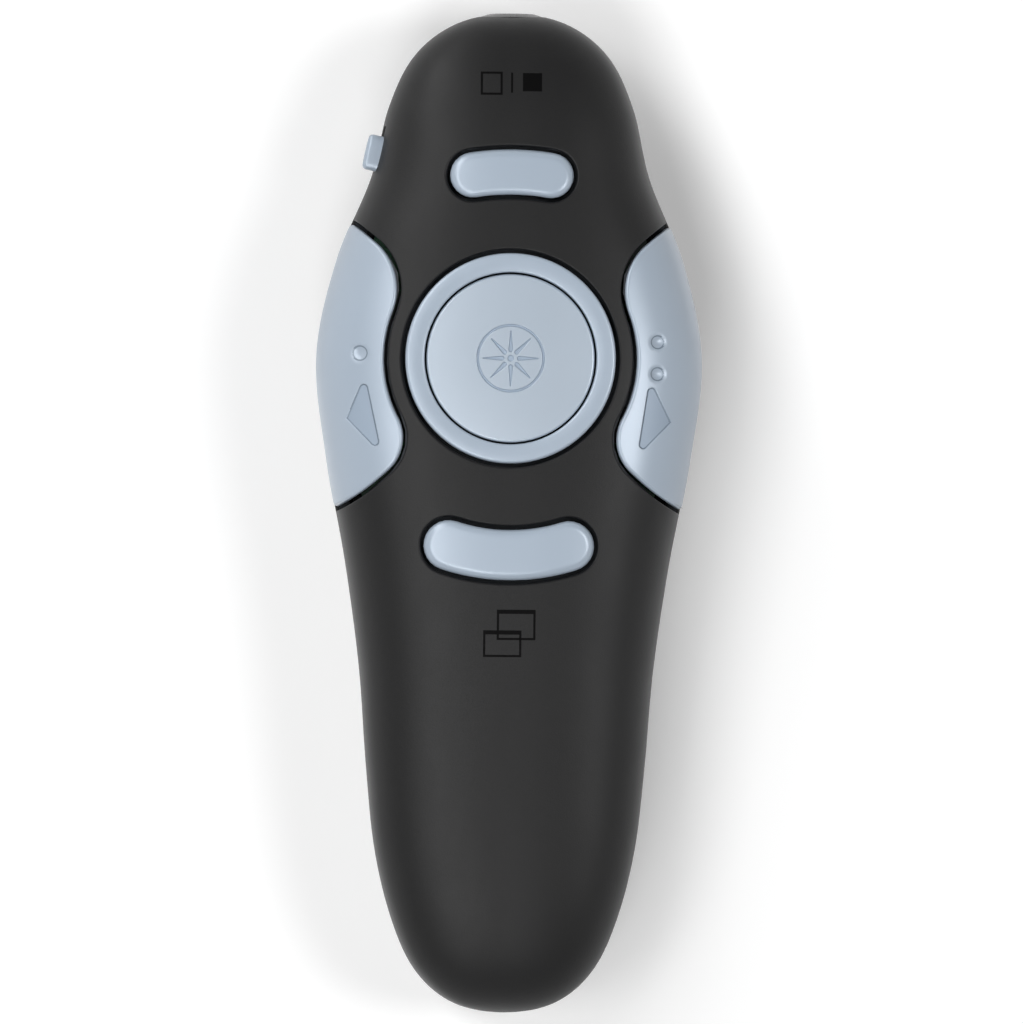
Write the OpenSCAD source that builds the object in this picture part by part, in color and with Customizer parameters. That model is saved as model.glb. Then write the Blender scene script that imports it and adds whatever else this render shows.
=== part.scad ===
// Wireless presentation clicker with a laser pointer.
// Frame: origin on the resting plane under the middle of the body, +Y towards the
// laser nose, +X to the right as the keys are looked down on, +Z up through the keys.
// Units are millimetres.

/* [Body] */
// Overall length from nose to tail
body_len = 126; // [122:0.5:131]
// Greatest width of the housing, across the side keys
body_w = 48.4; // [47:0.2:52]
// Height of the crown above the parting plane
crown_h = 15; // [14.4:0.1:17]
// Height of the parting plane over the resting plane
parting_z = 12; // [11.7:0.1:13]
// How far the belly curve is planed off to make the resting land
land_cut = 0.6; // [0.4:0.1:0.9]
// Wall thickness of both housing halves
wall = 1.8; // [1.5:0.1:2]
// Exponent of the upper section: 2 is an ellipse, more is squarer
crown_power = 2.8; // [2.5:0.1:3.2]
// Exponent of the lower section
belly_power = 2.6; // [2.4:0.1:3]

/* [Keys] */
// How far each key travels when it is pressed
key_travel = 0.6; // [0.3:0.1:0.7]
// Gap round each key in the housing
key_gap = 0.5; // [0.4:0.05:0.6]
// How far the bar keys stand above the crown
bar_proud = 0.5; // [0.2:0.1:0.9]
// Distance of the key dial's centre from the nose
dial_to_nose = 43.6; // [43:0.1:44.4]
// Radius of the round laser key
laser_key_r = 10.6; // [9.8:0.1:10.8]
// Running gap between the laser key and its trim ring
dial_gap = 0.2; // [0.15:0.05:0.3]
// Visible width of the trim ring
ring_w = 2.4; // [2:0.1:2.6]
// Width of the housing bridge between the trim ring and the side keys
bridge_w = 1.9; // [1.7:0.1:2.1]
// Radius of the centre line of the front bar key, about the dial
front_bar_r = 23.4; // [22.8:0.1:24]
// Half the width of the front bar key
front_bar_half = 2.9; // [2.5:0.1:3]
// Half the angle that the front bar key spans
front_bar_angle = 12.3; // [10:0.1:14]
// Radius of the centre line of the rear bar key, about the dial
rear_bar_r = 24.7; // [24.2:0.1:25.4]
// Half the width of the rear bar key
rear_bar_half = 3.15; // [2.7:0.05:3.3]
// Half the angle that the rear bar key spans
rear_bar_angle = 17.8; // [15:0.1:19]
// Angle of the side keys' front edges, about the dial
side_front_angle = 40.6; // [39:0.1:42]
// Angle of the side keys' rear edges, about the dial
side_rear_angle = 42.5; // [41:0.1:44]
// Radius of the side keys' front inner corners
side_front_corner = 7; // [6:0.1:8]
// Radius of the side keys' rear inner corners
side_rear_corner = 5.5; // [4.5:0.1:6.5]
// Thickness of the side keys
side_key_t = 2; // [1.6:0.1:2.2]

/* [Electronics] */
// Thickness of the circuit board
board_t = 1.2; // [1:0.1:1.6]
// Side of a tact switch body
tact_w = 4.6; // [4.2:0.1:5]
// Height of a tact switch body
tact_h = 3.2; // [2.8:0.1:3.4]
// Radius of a tact switch plunger
plunger_r = 1.7; // [1.3:0.1:1.9]
// Radius of the laser module's barrel
laser_r = 3; // [2.6:0.1:3.1]
// Length of the laser module's barrel
laser_len = 12.5; // [11:0.5:13]

/* [Power] */
// Distance of the battery bay from the tail
bay_to_tail = 15.5; // [15:0.1:16]
// Diameter of an AAA cell
cell_d = 10.5; // [10:0.1:10.5]
// Length of an AAA cell with its nub
cell_len = 44.5; // [43.5:0.1:44.8]
// Length of the contact spring at each cell's flat end
spring_len = 4; // [3.6:0.1:4.4]
// Thickness of the battery door
door_t = 1.4; // [1.2:0.1:1.5]
// How far the battery door reaches past its bay on each side
door_land = 2.95; // [2.75:0.05:3.15]

/* [Receiver] */
// Width of the receiver's plug shell
plug_w = 12; // [11.8:0.1:12.2]
// Height of the receiver's plug shell
plug_h = 4.5; // [4.3:0.1:4.6]
// Length of the receiver's plug shell
plug_len = 12.5; // [11.5:0.1:13]
// Width of the receiver's cap
cap_w = 15; // [14:0.1:15.6]
// Length of the receiver's cap
cap_len = 6.6; // [5.5:0.1:7]
// Height of the receiver's cap
cap_h = 6.4; // [5.6:0.1:6.6]

/* [Lock switch] */
// Distance of the lock slider from the nose
lock_to_nose = 17.5; // [16.8:0.1:18.2]
// Length of the lock slider's knob along the flank
knob_len = 4.4; // [3.6:0.1:5]
// How far the knob stands out of the flank
knob_out = 1.7; // [1.2:0.1:2.2]
// Height of the knob
knob_h = 3; // [2.4:0.1:3.4]
// Travel between the two settings of the lock slider
lock_travel = 2; // [1:0.1:2.2]

/* [Hidden] */
$fn = 64;

black = "#2b2c2e";
key_blue = "#b9c4cc";
steel = "#b8babd";
nickel = "#c9cacc";
gold = "#d1a84a";
board_green = "#1d5a3a";
chip_black = "#18191b";

// --- Outline of the body ---------------------------------------------------------
// Shares of the greatest size at equal steps of the angle from the nose (0) to the tail (180).
plan_shape = [0, 0.286, 0.505, 0.638, 0.726, 0.901, 1, 0.943, 0.843, 0.768, 0.728,
    0.680, 0.591, 0.465, 0.270, 0];
crown_shape = [0, 0.40, 0.62, 0.77, 0.875, 0.95, 0.993, 1, 0.967, 0.90, 0.827, 0.753,
    0.66, 0.52, 0.31, 0];
belly_shape = [0, 0.43, 0.74, 0.91, 0.985, 1, 1, 1, 1, 1, 1, 0.99, 0.94, 0.77, 0.45, 0];
knots = len(plan_shape) - 1;
half_len = body_len / 2;
dial_y = half_len - dial_to_nose;
crown_top = parting_z + crown_h;
belly_d = parting_z + land_cut;
end_angle = 3;
outer_stations = 36;
inner_stations = 24;
section_steps = 16;

// Catmull-Rom curve through equally spaced values, carried on past both ends by odd symmetry.
function knot(v, i) = i < 0 ? -v[-i] : i > knots ? -v[2 * knots - i] : v[i];
function spline(v, t) =
    let (i = min(floor(t), knots - 1), f = t - i,
         a = knot(v, i - 1), b = v[i], c = v[i + 1], d = knot(v, i + 2))
    b + 0.5 * f * (c - a + f * (2 * a - 5 * b + 4 * c - d + f * (3 * b - a - 3 * c + d)));
function share(v, u) = spline(v, u / 180 * knots);

// An inset fades out at both ends, so that an inner surface closes like the outer one.
function fade(u) = 1 - pow(1 - min(1, 2 * sin(u)), 2);
function station_y(u, inset) = (half_len - inset) * cos(u) / cos(end_angle);
function station_u(y) = acos(min(1, max(-1, y * cos(end_angle) / half_len)));
function half_width(u, inset = 0) = body_w / 2 * share(plan_shape, u) - inset * fade(u);
function rise(u, inset = 0) = crown_h * share(crown_shape, u) - inset * fade(u);
function sink(u, inset = 0) = belly_d * share(belly_shape, u) - inset * fade(u);

// Half width and surface height at a place along the body.
function width_at(y, inset = 0) = half_width(station_u(y), inset);
function curve(part, power) = pow(max(0, 1 - pow(min(1, abs(part)), power)), 1 / power);
function crown_z(x, y) = parting_z + rise(station_u(y)) * curve(x / width_at(y), crown_power);

// A level below the inner face of the crown at a place, with room to spare.
function under_crown(p, room) = crown_z(p[0], p[1]) - wall - room;

// A point of the upper surface at section angle a, where 0 is the flank and 90 the crown line.
function crown_point(a, u, y, inset = 0) =
    [half_width(u, inset) * pow(cos(a), 2 / crown_power), y,
     parting_z + rise(u, inset) * pow(sin(a), 2 / crown_power)];

// One cross section of the upper (side 1) or lower (side -1) half of the body, and its skirt.
function section_ring(side, u, inset, skirt) =
    let (y = station_y(u, inset), w = half_width(u, inset),
         h = side > 0 ? rise(u, inset) : sink(u, inset),
         p = 2 / (side > 0 ? crown_power : belly_power),
         floor_z = inset > 0 ? inset : -land_cut,
         arc = [for (j = [0:section_steps])
             let (a = 180 * j / section_steps, c = cos(a), z = parting_z + side * h * pow(abs(sin(a)), p))
             [w * sign(c) * pow(abs(c), p), y, max(z, floor_z)]],
         foot = skirt > 0
             ? [[-w, y, parting_z - side * skirt], [w, y, parting_z - side * skirt]] : [],
         ring = concat(arc, foot))
    side > 0 ? [for (j = [len(ring) - 1:-1:0]) ring[j]] : ring;

// Skins rings of equal length into one closed solid. Each ring runs clockwise as seen from the first.
module loft(rings) {
    m = len(rings[0]);
    n = len(rings);
    sides = [for (i = [0:n - 2], j = [0:m - 1])
        let (a = i * m + j, b = i * m + (j + 1) % m)
        each [[a, b, b + m], [a, b + m, a + m]]];
    half = floor(m / 2);
    cap = [for (j = [0:half - 1], t = [[j, m - 2 - j, j + 1], [j, m - 1 - j, m - 2 - j]])
        if (t[0] != t[1] && t[1] != t[2] && t[0] != t[2]) t];
    last = [for (t = cap) [for (v = [2:-1:0]) (n - 1) * m + t[v]]];
    polyhedron([for (r = rings) each r], concat(sides, cap, last));
}

// The upper or lower half of the body, inset from the outer surface.
module half_body(side, inset = 0, skirt = 0, steps = outer_stations)
    loft([for (i = [0:steps])
        section_ring(side, end_angle + (180 - 2 * end_angle) * i / steps, inset, skirt)]);

// --- Small shared shapes ---------------------------------------------------------
module box(x, y, z) translate([x[0], y[0], z[0]]) cube([x[1] - x[0], y[1] - y[0], z[1] - z[0]]);
module post(at, z, r) translate([at[0], at[1], z[0]]) cylinder(h = z[1] - z[0], r = r);
module rod_y(at, y, r) translate([at[0], y[0], at[1]]) rotate([-90, 0, 0]) cylinder(h = y[1] - y[0], r = r);
module slab(z) translate([0, 0, z[0]]) linear_extrude(z[1] - z[0]) children();
function span(middle, size) = [middle - size / 2, middle + size / 2];
module right_and_left() {
    children();
    mirror([1, 0, 0]) children();
}

// --- Levels and places -----------------------------------------------------------
// How far a cut runs past what it cuts.
over = 1;
fit = 0.15;
press_gap = 0.05;
seat_gap = 0.1;
board_lift = 3;
board_z = parting_z + board_lift;
board_top = board_z + board_t;
tact_top = board_top + tact_h;
plunger_out = 0.8;
plunger_in = 1.4;
plunger_top = tact_top + plunger_out;
plunger_fit = 0.1;
stem_r = 1.3;
dial_stem_r = 1.7;
flange_t = 1;
flange_out = 1;
above = crown_top + parting_z;

ring_r = laser_key_r + dial_gap + ring_w;
hole_r = ring_r + key_gap;
side_key_r = hole_r + bridge_w + key_gap;
collar_t = 1.4;

// --- Laser key and trim ring -----------------------------------------------------
dial_sink = 0.3;
ring_notch = 3;
dial_top = crown_top - dial_sink;
ring_flange_top = under_crown([hole_r + flange_out, dial_y], 0.4);
dial_flange_top = ring_flange_top - flange_t - seat_gap;

module round_at_dial() translate([0, dial_y, 0]) rotate_extrude() children();

module laser_key() color(key_blue) {
    dome = 0.2;
    edge = 0.9;
    roof_t = 2.2;
    rim_t = 1.4;
    flat_r = laser_key_r - edge;
    flange_r = laser_key_r + dial_gap + flange_out;
    flange_low = dial_flange_top - flange_t;
    difference() {
        round_at_dial() polygon(concat(
            [[0, flange_low], [flange_r, flange_low], [flange_r, dial_flange_top],
             [laser_key_r, dial_flange_top], [laser_key_r, dial_top - edge]],
            [for (a = [15:15:90]) [laser_key_r - edge * (1 - cos(a)), dial_top - edge * (1 - sin(a))]],
            [for (k = [1:6]) let (r = flat_r * (1 - k / 6))
                [r, dial_top + dome * (1 - pow(r / flat_r, 2))]]));
        post([0, dial_y], [flange_low - over, dial_top - roof_t], laser_key_r - rim_t);
    }
    post([0, dial_y], [plunger_top, dial_top - roof_t / 2], dial_stem_r);
}

module trim_ring() color(key_blue) {
    inner = laser_key_r + dial_gap;
    edge = 0.7;
    lift = 0.15;
    shoulder = dial_top - edge;
    foot = dial_flange_top + seat_gap;
    difference() {
        round_at_dial() polygon(concat(
            [[inner, foot], [hole_r + flange_out, foot], [hole_r + flange_out, ring_flange_top],
             [ring_r, ring_flange_top], [ring_r, shoulder]],
            [for (a = [18:18:90]) [ring_r - edge * (1 - cos(a)), shoulder + (edge + lift) * sin(a)]],
            [for (a = [90:-30:0]) [inner + edge * (1 - cos(a)), shoulder + (edge + lift) * sin(a)]]));
        for (a = [45:90:315]) translate([0, dial_y, 0]) rotate([0, 0, a])
            box([hole_r + flange_out / 2, hole_r + 2 * flange_out], span(0, ring_notch),
                [foot - over, ring_flange_top + over]);
    }
}

// --- Bar keys --------------------------------------------------------------------
// A place on a bar that is bent about the dial: off is [outwards, sideways] from its centre
// line at angle a. dir is 90 for a bar in front of the dial and 270 for one behind it.
function bent(r, off, a, dir) = [
    (r + off[0]) * cos(dir + a) - off[1] * sin(dir + a),
    dial_y + (r + off[0]) * sin(dir + a) + off[1] * cos(dir + a)];
function bar_end(r, half, a, dir, steps) =
    [for (k = steps) bent(r, sign(a) * half * [cos(30 * k), sin(30 * k)], a, dir)];
function bar_side(r, half, s, angle, dir) =
    [for (k = [0:7]) bent(r, [s * half, 0], s * angle * (2 * k / 7 - 1), dir)];
function bar_outline(r, half, angle, dir) = concat(
    bar_end(r, half, -angle, dir, [3:5]), bar_side(r, half, 1, angle, dir),
    bar_end(r, half, angle, dir, [1:5]), bar_side(r, half, -1, angle, dir),
    bar_end(r, half, -angle, dir, [1:2]));
function reversed(v) = [for (j = [len(v) - 1:-1:0]) v[j]];

module bar_2d(r, half, angle, dir) translate([0, dial_y]) rotate(dir) {
    reach = 2 * r;
    intersection() {
        difference() {
            circle(r + half);
            circle(r - half);
        }
        polygon([[0, 0], reach * [cos(angle), -sin(angle)], reach * [cos(angle), sin(angle)]]);
    }
    for (s = [-1, 1]) rotate(s * angle) translate([r, 0]) circle(half);
}

// A pillow-topped key. Each step of the pillow is [inset from the outline, depth below the top].
module bar_key(r, half, angle, dir, flange_top) color(key_blue) {
    ridge = 0.25;
    pillow = [[0, 1.1], [0.1, 0.7], [0.45, 0.38], [1, 0.15], [1.7, 0.05], [half - ridge, 0]];
    skirt = [for (q = bar_outline(r, half, angle, dir)) [q[0], q[1], flange_top - flange_t / 2]];
    layers = [for (p = pillow) [for (q = bar_outline(r, half - p[0], angle, dir))
        [q[0], q[1], crown_z(q[0], q[1]) + bar_proud - p[1]]]];
    loft([for (ring = concat([skirt], layers)) reversed(ring)]);
    slab([flange_top - flange_t, flange_top]) bar_2d(r, half + flange_out, angle, dir);
    post([0, dial_y + r * sin(dir)], [plunger_top, flange_top - flange_t / 2], stem_r);
}

front_flange_top = under_crown(bent(front_bar_r, [front_bar_half + flange_out, 0], front_bar_angle, 90), 0.7);
rear_flange_top = under_crown(bent(rear_bar_r, [rear_bar_half + flange_out, 0], rear_bar_angle, 270), 0.8);
module blank_screen_key()
    bar_key(front_bar_r, front_bar_half, front_bar_angle, 90, front_flange_top);
module window_key()
    bar_key(rear_bar_r, rear_bar_half, rear_bar_angle, 270, rear_flange_top);

// --- Side keys -------------------------------------------------------------------
// Each side key is a sector about the dial: its inner edge runs round the dial, its ends lie
// on two lines through the dial's centre, and rounded corners join them.
side_key_low = parting_z + 1.6;
side_hole_low = side_key_low - key_travel - fit;
flank_share = 0.97;
side_proud = 0.15;
side_lip = [-0.9, 1.6];
side_lip_angles = [-22, 18];
side_lip_top = ring_flange_top - 0.4;
side_stem_in = 1.5;
side_stem_angle = -27.6;
side_stem = dial_point(side_key_r + side_stem_in, side_stem_angle);

function dial_point(r, a) = [r * cos(a), dial_y + r * sin(a)];
function corner_from(limit, corner) = limit - asin(corner / (side_key_r + corner));
function corner_arc(s, limit, corner, grow) =
    let (a = corner_from(limit, corner), c = dial_point(side_key_r + corner, s * a))
    [for (k = [0:4]) let (t = 180 + s * (a + (limit - 90 - a) * k / 4))
        c + (corner + grow) * [cos(t), sin(t)]];
function on_line(s, limit, r, grow) =
    dial_point(r, s * limit) + grow * [cos(s * (limit + 90)), sin(s * (limit + 90))];
function side_edge(grow, rear, front) =
    let (a = -corner_from(side_rear_angle, side_rear_corner),
         b = corner_from(side_front_angle, side_front_corner))
    concat([for (r = rear) on_line(-1, side_rear_angle, r, grow)],
        reversed(corner_arc(-1, side_rear_angle, side_rear_corner, grow)),
        [for (k = [1:5]) dial_point(side_key_r - grow, a + (b - a) * k / 6)],
        corner_arc(1, side_front_angle, side_front_corner, grow),
        [for (r = reversed(front)) on_line(1, side_front_angle, r, grow)]);

// Distance from the dial at which a line at angle a crosses a given share of the half width.
function reach(a, part, low = 18, high = 45) =
    let (mid = (low + high) / 2, p = dial_point(mid, a))
    high - low < 0.001 ? mid
        : p[0] < part * width_at(p[1]) ? reach(a, part, mid, high) : reach(a, part, low, mid);
function end_steps(a) = let (r = reach(a, flank_share)) [r, r - 0.4, r - 1.2, r - 3.6];

module side_hole_2d()
    polygon(side_edge(key_gap, [2 * body_w], [2 * body_w]));

module side_key() {
    across = [0, 0.03, 0.09, 0.3, 0.5, 0.7, 0.91, 0.97, 1];
    drop = [0.4, 0.05, -0.1, -side_proud, -side_proud, -side_proud, -0.1, 0.05, 0.4];
    end_drop = [0.4, 0.05, -0.1];
    edge = side_edge(0, end_steps(-side_rear_angle), end_steps(side_front_angle));
    n = len(edge);
    m = len(across);
    rear_y = dial_point(reach(-side_rear_angle, 0.998), -side_rear_angle)[1];
    front_y = dial_point(reach(side_front_angle, 0.998), side_front_angle)[1];
    low_y = [for (i = [0:n - 1]) let (k = min(i, n - 1 - i), t = k < 3 ? [0, 0.01, 0.03][k] : k / (n - 1))
        i < n / 2 ? rear_y + (front_y - rear_y) * t : front_y - (front_y - rear_y) * t];
    outer = [for (i = [0:n - 1]) let (e = edge[i], ue = station_u(e[1]), ub = station_u(low_y[i]),
            ae = acos(pow(e[0] / half_width(ue), crown_power / 2)),
            ab = asin(pow((side_key_low - parting_z) / rise(ub), crown_power / 2)),
            k = min(i, n - 1 - i), end = k < 3 ? end_drop[k] : -1)
        [for (j = [0:m - 1]) let (v = across[j], y = e[1] + (low_y[i] - e[1]) * v)
            crown_point(ae + (ab - ae) * v, station_u(y), y, max(drop[j], end))]];
    inner = [for (i = [0:n - 1]) [for (j = [0:m - 1])
        let (p = outer[i][j], q = [-p[0], dial_y - p[1]], a = 90 * across[j])
        p + side_key_t * [sin(a) * q[0] / norm(q), sin(a) * q[1] / norm(q), -cos(a)]]];
    loft([for (i = [0:n - 1]) reversed(concat(outer[i], reversed(inner[i])))]);
    post(side_stem, [plunger_top, crown_z(side_stem[0], side_stem[1]) - side_key_t / 2], stem_r);
    slab([side_lip_top - flange_t, side_lip_top]) intersection() {
        translate([0, dial_y]) difference() {
            circle(side_key_r + side_lip[1]);
            circle(side_key_r + side_lip[0]);
        }
        polygon(concat([[0, dial_y]], [for (a = side_lip_angles) dial_point(2 * side_key_r, a)]));
    }
}
// A shallow dimple for the thumb to feel, at an angle about the dial.
dimple_in = 2.6;
dimple_depth = 0.2;
dimple_ball = 2.6;
next_dimples = [7, -5.8];
previous_dimples = [1.3];
module dimple(a) {
    p = dial_point(side_key_r + dimple_in, a);
    lean = atan(crown_z(p[0] - 0.5, p[1]) - crown_z(p[0] + 0.5, p[1]));
    translate([p[0], p[1], crown_z(p[0], p[1]) + side_proud]) rotate([0, lean, 0])
        translate([0, 0, dimple_ball - dimple_depth]) sphere(dimple_ball, $fn = 40);
}
module dimpled_key(angles) difference() {
    side_key();
    for (a = angles) dimple(a);
}
module next_key() color(key_blue) dimpled_key(next_dimples);
module previous_key() color(key_blue) mirror([1, 0, 0]) dimpled_key(previous_dimples);

// --- Battery bay -----------------------------------------------------------------
plate_t = 0.5;
cell_r = cell_d / 2;
nub = [1.9, 1];
crimp = 0.5;
cell_x = cell_r + 0.35;
cell_z = door_t + 1.15 + cell_r;
bay_y0 = bay_to_tail - half_len;
bay_y1 = bay_y0 + cell_len + spring_len + 2 * plate_t;
bay_half = cell_x + cell_r + 0.4;
bay_top = cell_z + cell_r + 0.25;
bay_wall = 1.2;
bay_roof = bay_top + 1.3;
door_gap = 0.2;
door_half = bay_half + door_land;
door_hole = door_half + door_gap;
door_front = bay_y1 + 2;
door_top = parting_z - 3.2;
tail_wrap = bay_y0 + 2.5;
shoulder_z = parting_z - 1.2;
rail_x = [door_half - 1.3, door_half + 0.4];
rail_y = [bay_y0 + 17.5, bay_y1 - 4];
rail_z = [5.6, 6.6];
tongue_z = [rail_z[1] + 0.2, rail_z[1] + 1];
tongue_y = rail_y + [2, 2];
tongue_gap = 0.35;
tab_x = [4.5, 6.5];

// --- Receiver bay ----------------------------------------------------------------
receiver_z = 0.4 + cap_h / 2;
plug_y0 = door_front + 4.8;
cap_y0 = plug_y0 + plug_len;
cap_y1 = cap_y0 + cap_len;
pocket_top = receiver_z + cap_h / 2 + 0.4;
pocket_wall = 1.4;
notch_r = 5;
notch_w = 8;
notch_depth = 2;

// --- Laser -----------------------------------------------------------------------
laser_z = parting_z;
bezel_r = laser_r + 1.3;
laser_front = half_len - 2.7;
laser_back = laser_front - laser_len;
cradle_t = 1.4;
cradle_y = [laser_back + 1.4, laser_front - 5.6];
bezel_seat = laser_front - 4.4;
module round_at_nose() translate([0, 0, laser_z]) rotate([-90, 0, 0]) rotate_extrude() children();

// --- Screws ----------------------------------------------------------------------
screw_r = 0.9;
head_r = 1.7;
head_t = 1.3;
pilot_r = screw_r + 0.03;
screw_grip = 6;
boss_wall = 0.7;
foot_wall = 1.3;
head_gap = 0.3;
tip_gap = 0.5;
nose_seat = 7;
nose_x = 8;
nose_y = half_len - 11.2;
// Each housing screw: [place, seat of its head, foot of its boss in the crown].
nose_screws = [for (x = [-nose_x, nose_x]) [[x, nose_y], parting_z - nose_seat, parting_z]];
board_inset = 3.6;
board_y = [dial_y - rear_bar_r - 9.2, half_len - 16.6];
bay_screw = [[0, board_y[0] - 7.5], bay_top, bay_roof];
tail_screw_y = 7 - half_len;
tail_web = 1.6;
tail_screw = [[0, tail_screw_y], parting_z - tail_web, parting_z];
housing_screw_list = concat(nose_screws, [bay_screw, tail_screw]);
post_r = 1.9;
post_y = [board_y[0] + 3.5, dial_y + 15.1];
post_x = [width_at(post_y[0]) - board_inset - post_r, 9];
board_posts = [for (k = [0, 1], s = [-1, 1]) [s * post_x[k], post_y[k]]];
board_screw_low = board_z - 5;

// --- Lock switch -----------------------------------------------------------------
// Its own frame sits on the left flank: -X points out of the body and +Y along the flank.
lock_y = half_len - lock_to_nose;
lock_z = parting_z + 3.2;
flank_angle = atan((width_at(lock_y - 1) - width_at(lock_y + 1)) / 2);
flank_x = width_at(lock_y) * curve((lock_z - parting_z) / rise(station_u(lock_y)), crown_power);
neck = [2.4, 1.6];
neck_in = wall + 1.2;
slide_len = 6.4;
slide_z = [-1.9, 1.4];
slide_t = 0.7;
slide_room = wall + 2.8;
fork = [1.05, 2];
fork_x = [wall + 1.5, wall + 2.6];
fork_low = 1.15;
fork_top = 2.5;
module at_flank() translate([-flank_x, lock_y, lock_z]) rotate(-flank_angle) children();

// --- Housing ---------------------------------------------------------------------
module top_shell() color(black) difference() {
    union() {
        difference() {
            half_body(1);
            half_body(1, wall, 1, inner_stations);
        }
        intersection() {
            half_body(1, wall / 2, 0, inner_stations);
            top_fittings();
        }
    }
    post([0, dial_y], [parting_z, above], hole_r);
    bars([parting_z, above], [parting_z, above], key_gap);
    right_and_left() slab([side_hole_low, above]) side_hole_2d();
    at_flank() {
        box([-over, neck_in], slide_span(neck[0]), span(0, neck[1] + 2 * fit));
        box([wall - fit, slide_room], slide_span(slide_len), [slide_z[0] - fit, slide_z[1] + fit]);
    }
    laser_bore();
    for (s = housing_screw_list) post(s[0], [s[2] - over, s[2] + screw_grip + tip_gap], pilot_r);
}
function slide_span(size) = [-size / 2 - fit, size / 2 + lock_travel + fit];

// Both bar keys' outlines, grown by grow, each between its own two levels.
module bars(front_z, rear_z, grow) {
    slab(front_z) bar_2d(front_bar_r, front_bar_half + grow, front_bar_angle, 90);
    slab(rear_z) bar_2d(rear_bar_r, rear_bar_half + grow, rear_bar_angle, 270);
}

module laser_bore() {
    rod_y([0, laser_z], [laser_back - over, half_len + over], laser_r + press_gap);
    rod_y([0, laser_z], [bezel_seat, half_len + over], bezel_r + press_gap);
}

// The two webs that hold the laser barrel, between two levels.
module cradles(z) for (y = cradle_y) box(span(0, 2 * bezel_r + 1), [y, y + cradle_t], z);

module top_fittings() {
    post([0, dial_y], [ring_flange_top, crown_top], hole_r + collar_t);
    bars([front_flange_top + seat_gap, crown_top], [rear_flange_top + seat_gap, crown_top],
        key_gap + collar_t);
    for (s = housing_screw_list) post(s[0], [s[2], crown_top], head_r + boss_wall);
    cradles([parting_z, crown_top]);
}

module bottom_shell() color(black) {
    difference() {
        union() {
            difference() {
                half_body(-1);
                half_body(-1, wall, 1, inner_stations);
            }
            intersection() {
                half_body(-1, wall / 2, 4, inner_stations);
                bottom_fittings();
            }
        }
        box([-body_w, body_w], [-half_len, half_len], [-2 * land_cut, 0]);
        battery_space();
        receiver_space();
        laser_bore();
        for (s = nose_screws) post(s[0], [-over, s[1]], head_r + head_gap);
        for (s = housing_screw_list) post(s[0], [s[1] - tip_gap, s[2] + over], screw_r + fit);
        for (p = board_posts) post(p, [board_screw_low - tip_gap, board_z + over], pilot_r);
    }
    right_and_left() {
        slab([parting_z - 3, parting_z - 1]) side_guard_2d(wall - 0.4);
        slab([parting_z - 2, parting_z + 2.4]) side_guard_2d(side_key_t + 0.5);
    }
    box(span(0, 2 * bay_half - 0.2), [bay_y0 - bay_wall, bay_y0], [5.2, shoulder_z + 0.5]);
    right_and_left() box(rail_x, rail_y, rail_z);
}

// A strip along the right flank that closes the view past the side key's lower edge.
module side_guard_2d(inset) {
    ends = [dial_y - 20.4, dial_y + 18.1];
    places = [for (k = [0:12]) ends[0] + (ends[1] - ends[0]) * k / 12];
    polygon(concat([for (y = places) [width_at(y) - inset, y]],
        [for (y = reversed(places)) [width_at(y) - side_key_t - 1.3, y]]));
}

module bottom_fittings() {
    side = door_hole + 1.8;
    box([-side, side], [bay_y0 - bay_wall, door_front + 1.6], [-land_cut, parting_z]);
    box([-bay_half - bay_wall, bay_half + bay_wall], [bay_y0 - bay_wall, bay_y1 + bay_wall],
        [shoulder_z - 1, bay_roof]);
    box([-side, side], [-half_len, bay_y0], [parting_z - tail_web, parting_z]);
    box(span(0, cap_w + 2 * pocket_wall), [plug_y0 - pocket_wall, cap_y1 + notch_r],
        [-land_cut, pocket_top + pocket_wall - 0.2]);
    for (s = nose_screws) post(s[0], [-land_cut, parting_z], head_r + foot_wall);
    for (p = board_posts) post(p, [-land_cut, board_z], post_r);
    cradles([-land_cut, parting_z]);
}

module battery_space() {
    deep = -2 * land_cut;
    box([-door_hole, door_hole], [bay_y0, bay_y1], [deep, shoulder_z]);
    box([-bay_half, bay_half], [bay_y0, bay_y1], [deep, bay_top]);
    box([-body_w, body_w], [-body_len, tail_wrap + door_gap], [deep, door_top + 0.3]);
    box([-door_hole, door_hole], [bay_y1 - over, door_front + door_gap], [deep, rail_z[0] - 0.8]);
    right_and_left() box([tab_x[0] - fit, tab_x[1] + fit],
        [bay_y1 - plate_t - fit, bay_y1 + fit], [bay_top - over, board_z]);
}

module receiver_space() {
    deep = -2 * land_cut;
    box(span(0, cap_w + 2 * fit), [cap_y0 - fit, cap_y1 + fit], [deep, pocket_top]);
    box(span(0, plug_w + 2 * fit), [plug_y0 - fit, cap_y0], [deep, pocket_top]);
    translate([-notch_w / 2, cap_y1 + 1.6, notch_depth - notch_r]) rotate([0, 90, 0])
        cylinder(h = notch_w, r = notch_r);
}

grip_count = 5;
grip_w = 14;
grip_t = 1;
grip_pitch = 2.2;
grip_depth = 0.35;
grip_y = bay_y0 + 12;
module battery_door() color(black) {
    intersection() {
        difference() {
            half_body(-1);
            half_body(-1, door_t, 1, inner_stations);
            for (k = [0:grip_count - 1])
                box(span(0, grip_w), span(grip_y - grip_pitch * k, grip_t), [-over, grip_depth]);
        }
        union() {
            box([-door_half, door_half], [-body_len, door_front], [0, door_top]);
            box([-body_w, body_w], [-body_len, tail_wrap], [0, door_top]);
        }
    }
    intersection() {
        half_body(-1, door_t / 2, 0, inner_stations);
        right_and_left() {
            box([bay_half + tongue_gap, rail_x[0] - 0.3], tongue_y, [0, tongue_z[1]]);
            box([bay_half + tongue_gap, door_half - 0.3], tongue_y, tongue_z);
        }
    }
}

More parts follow.
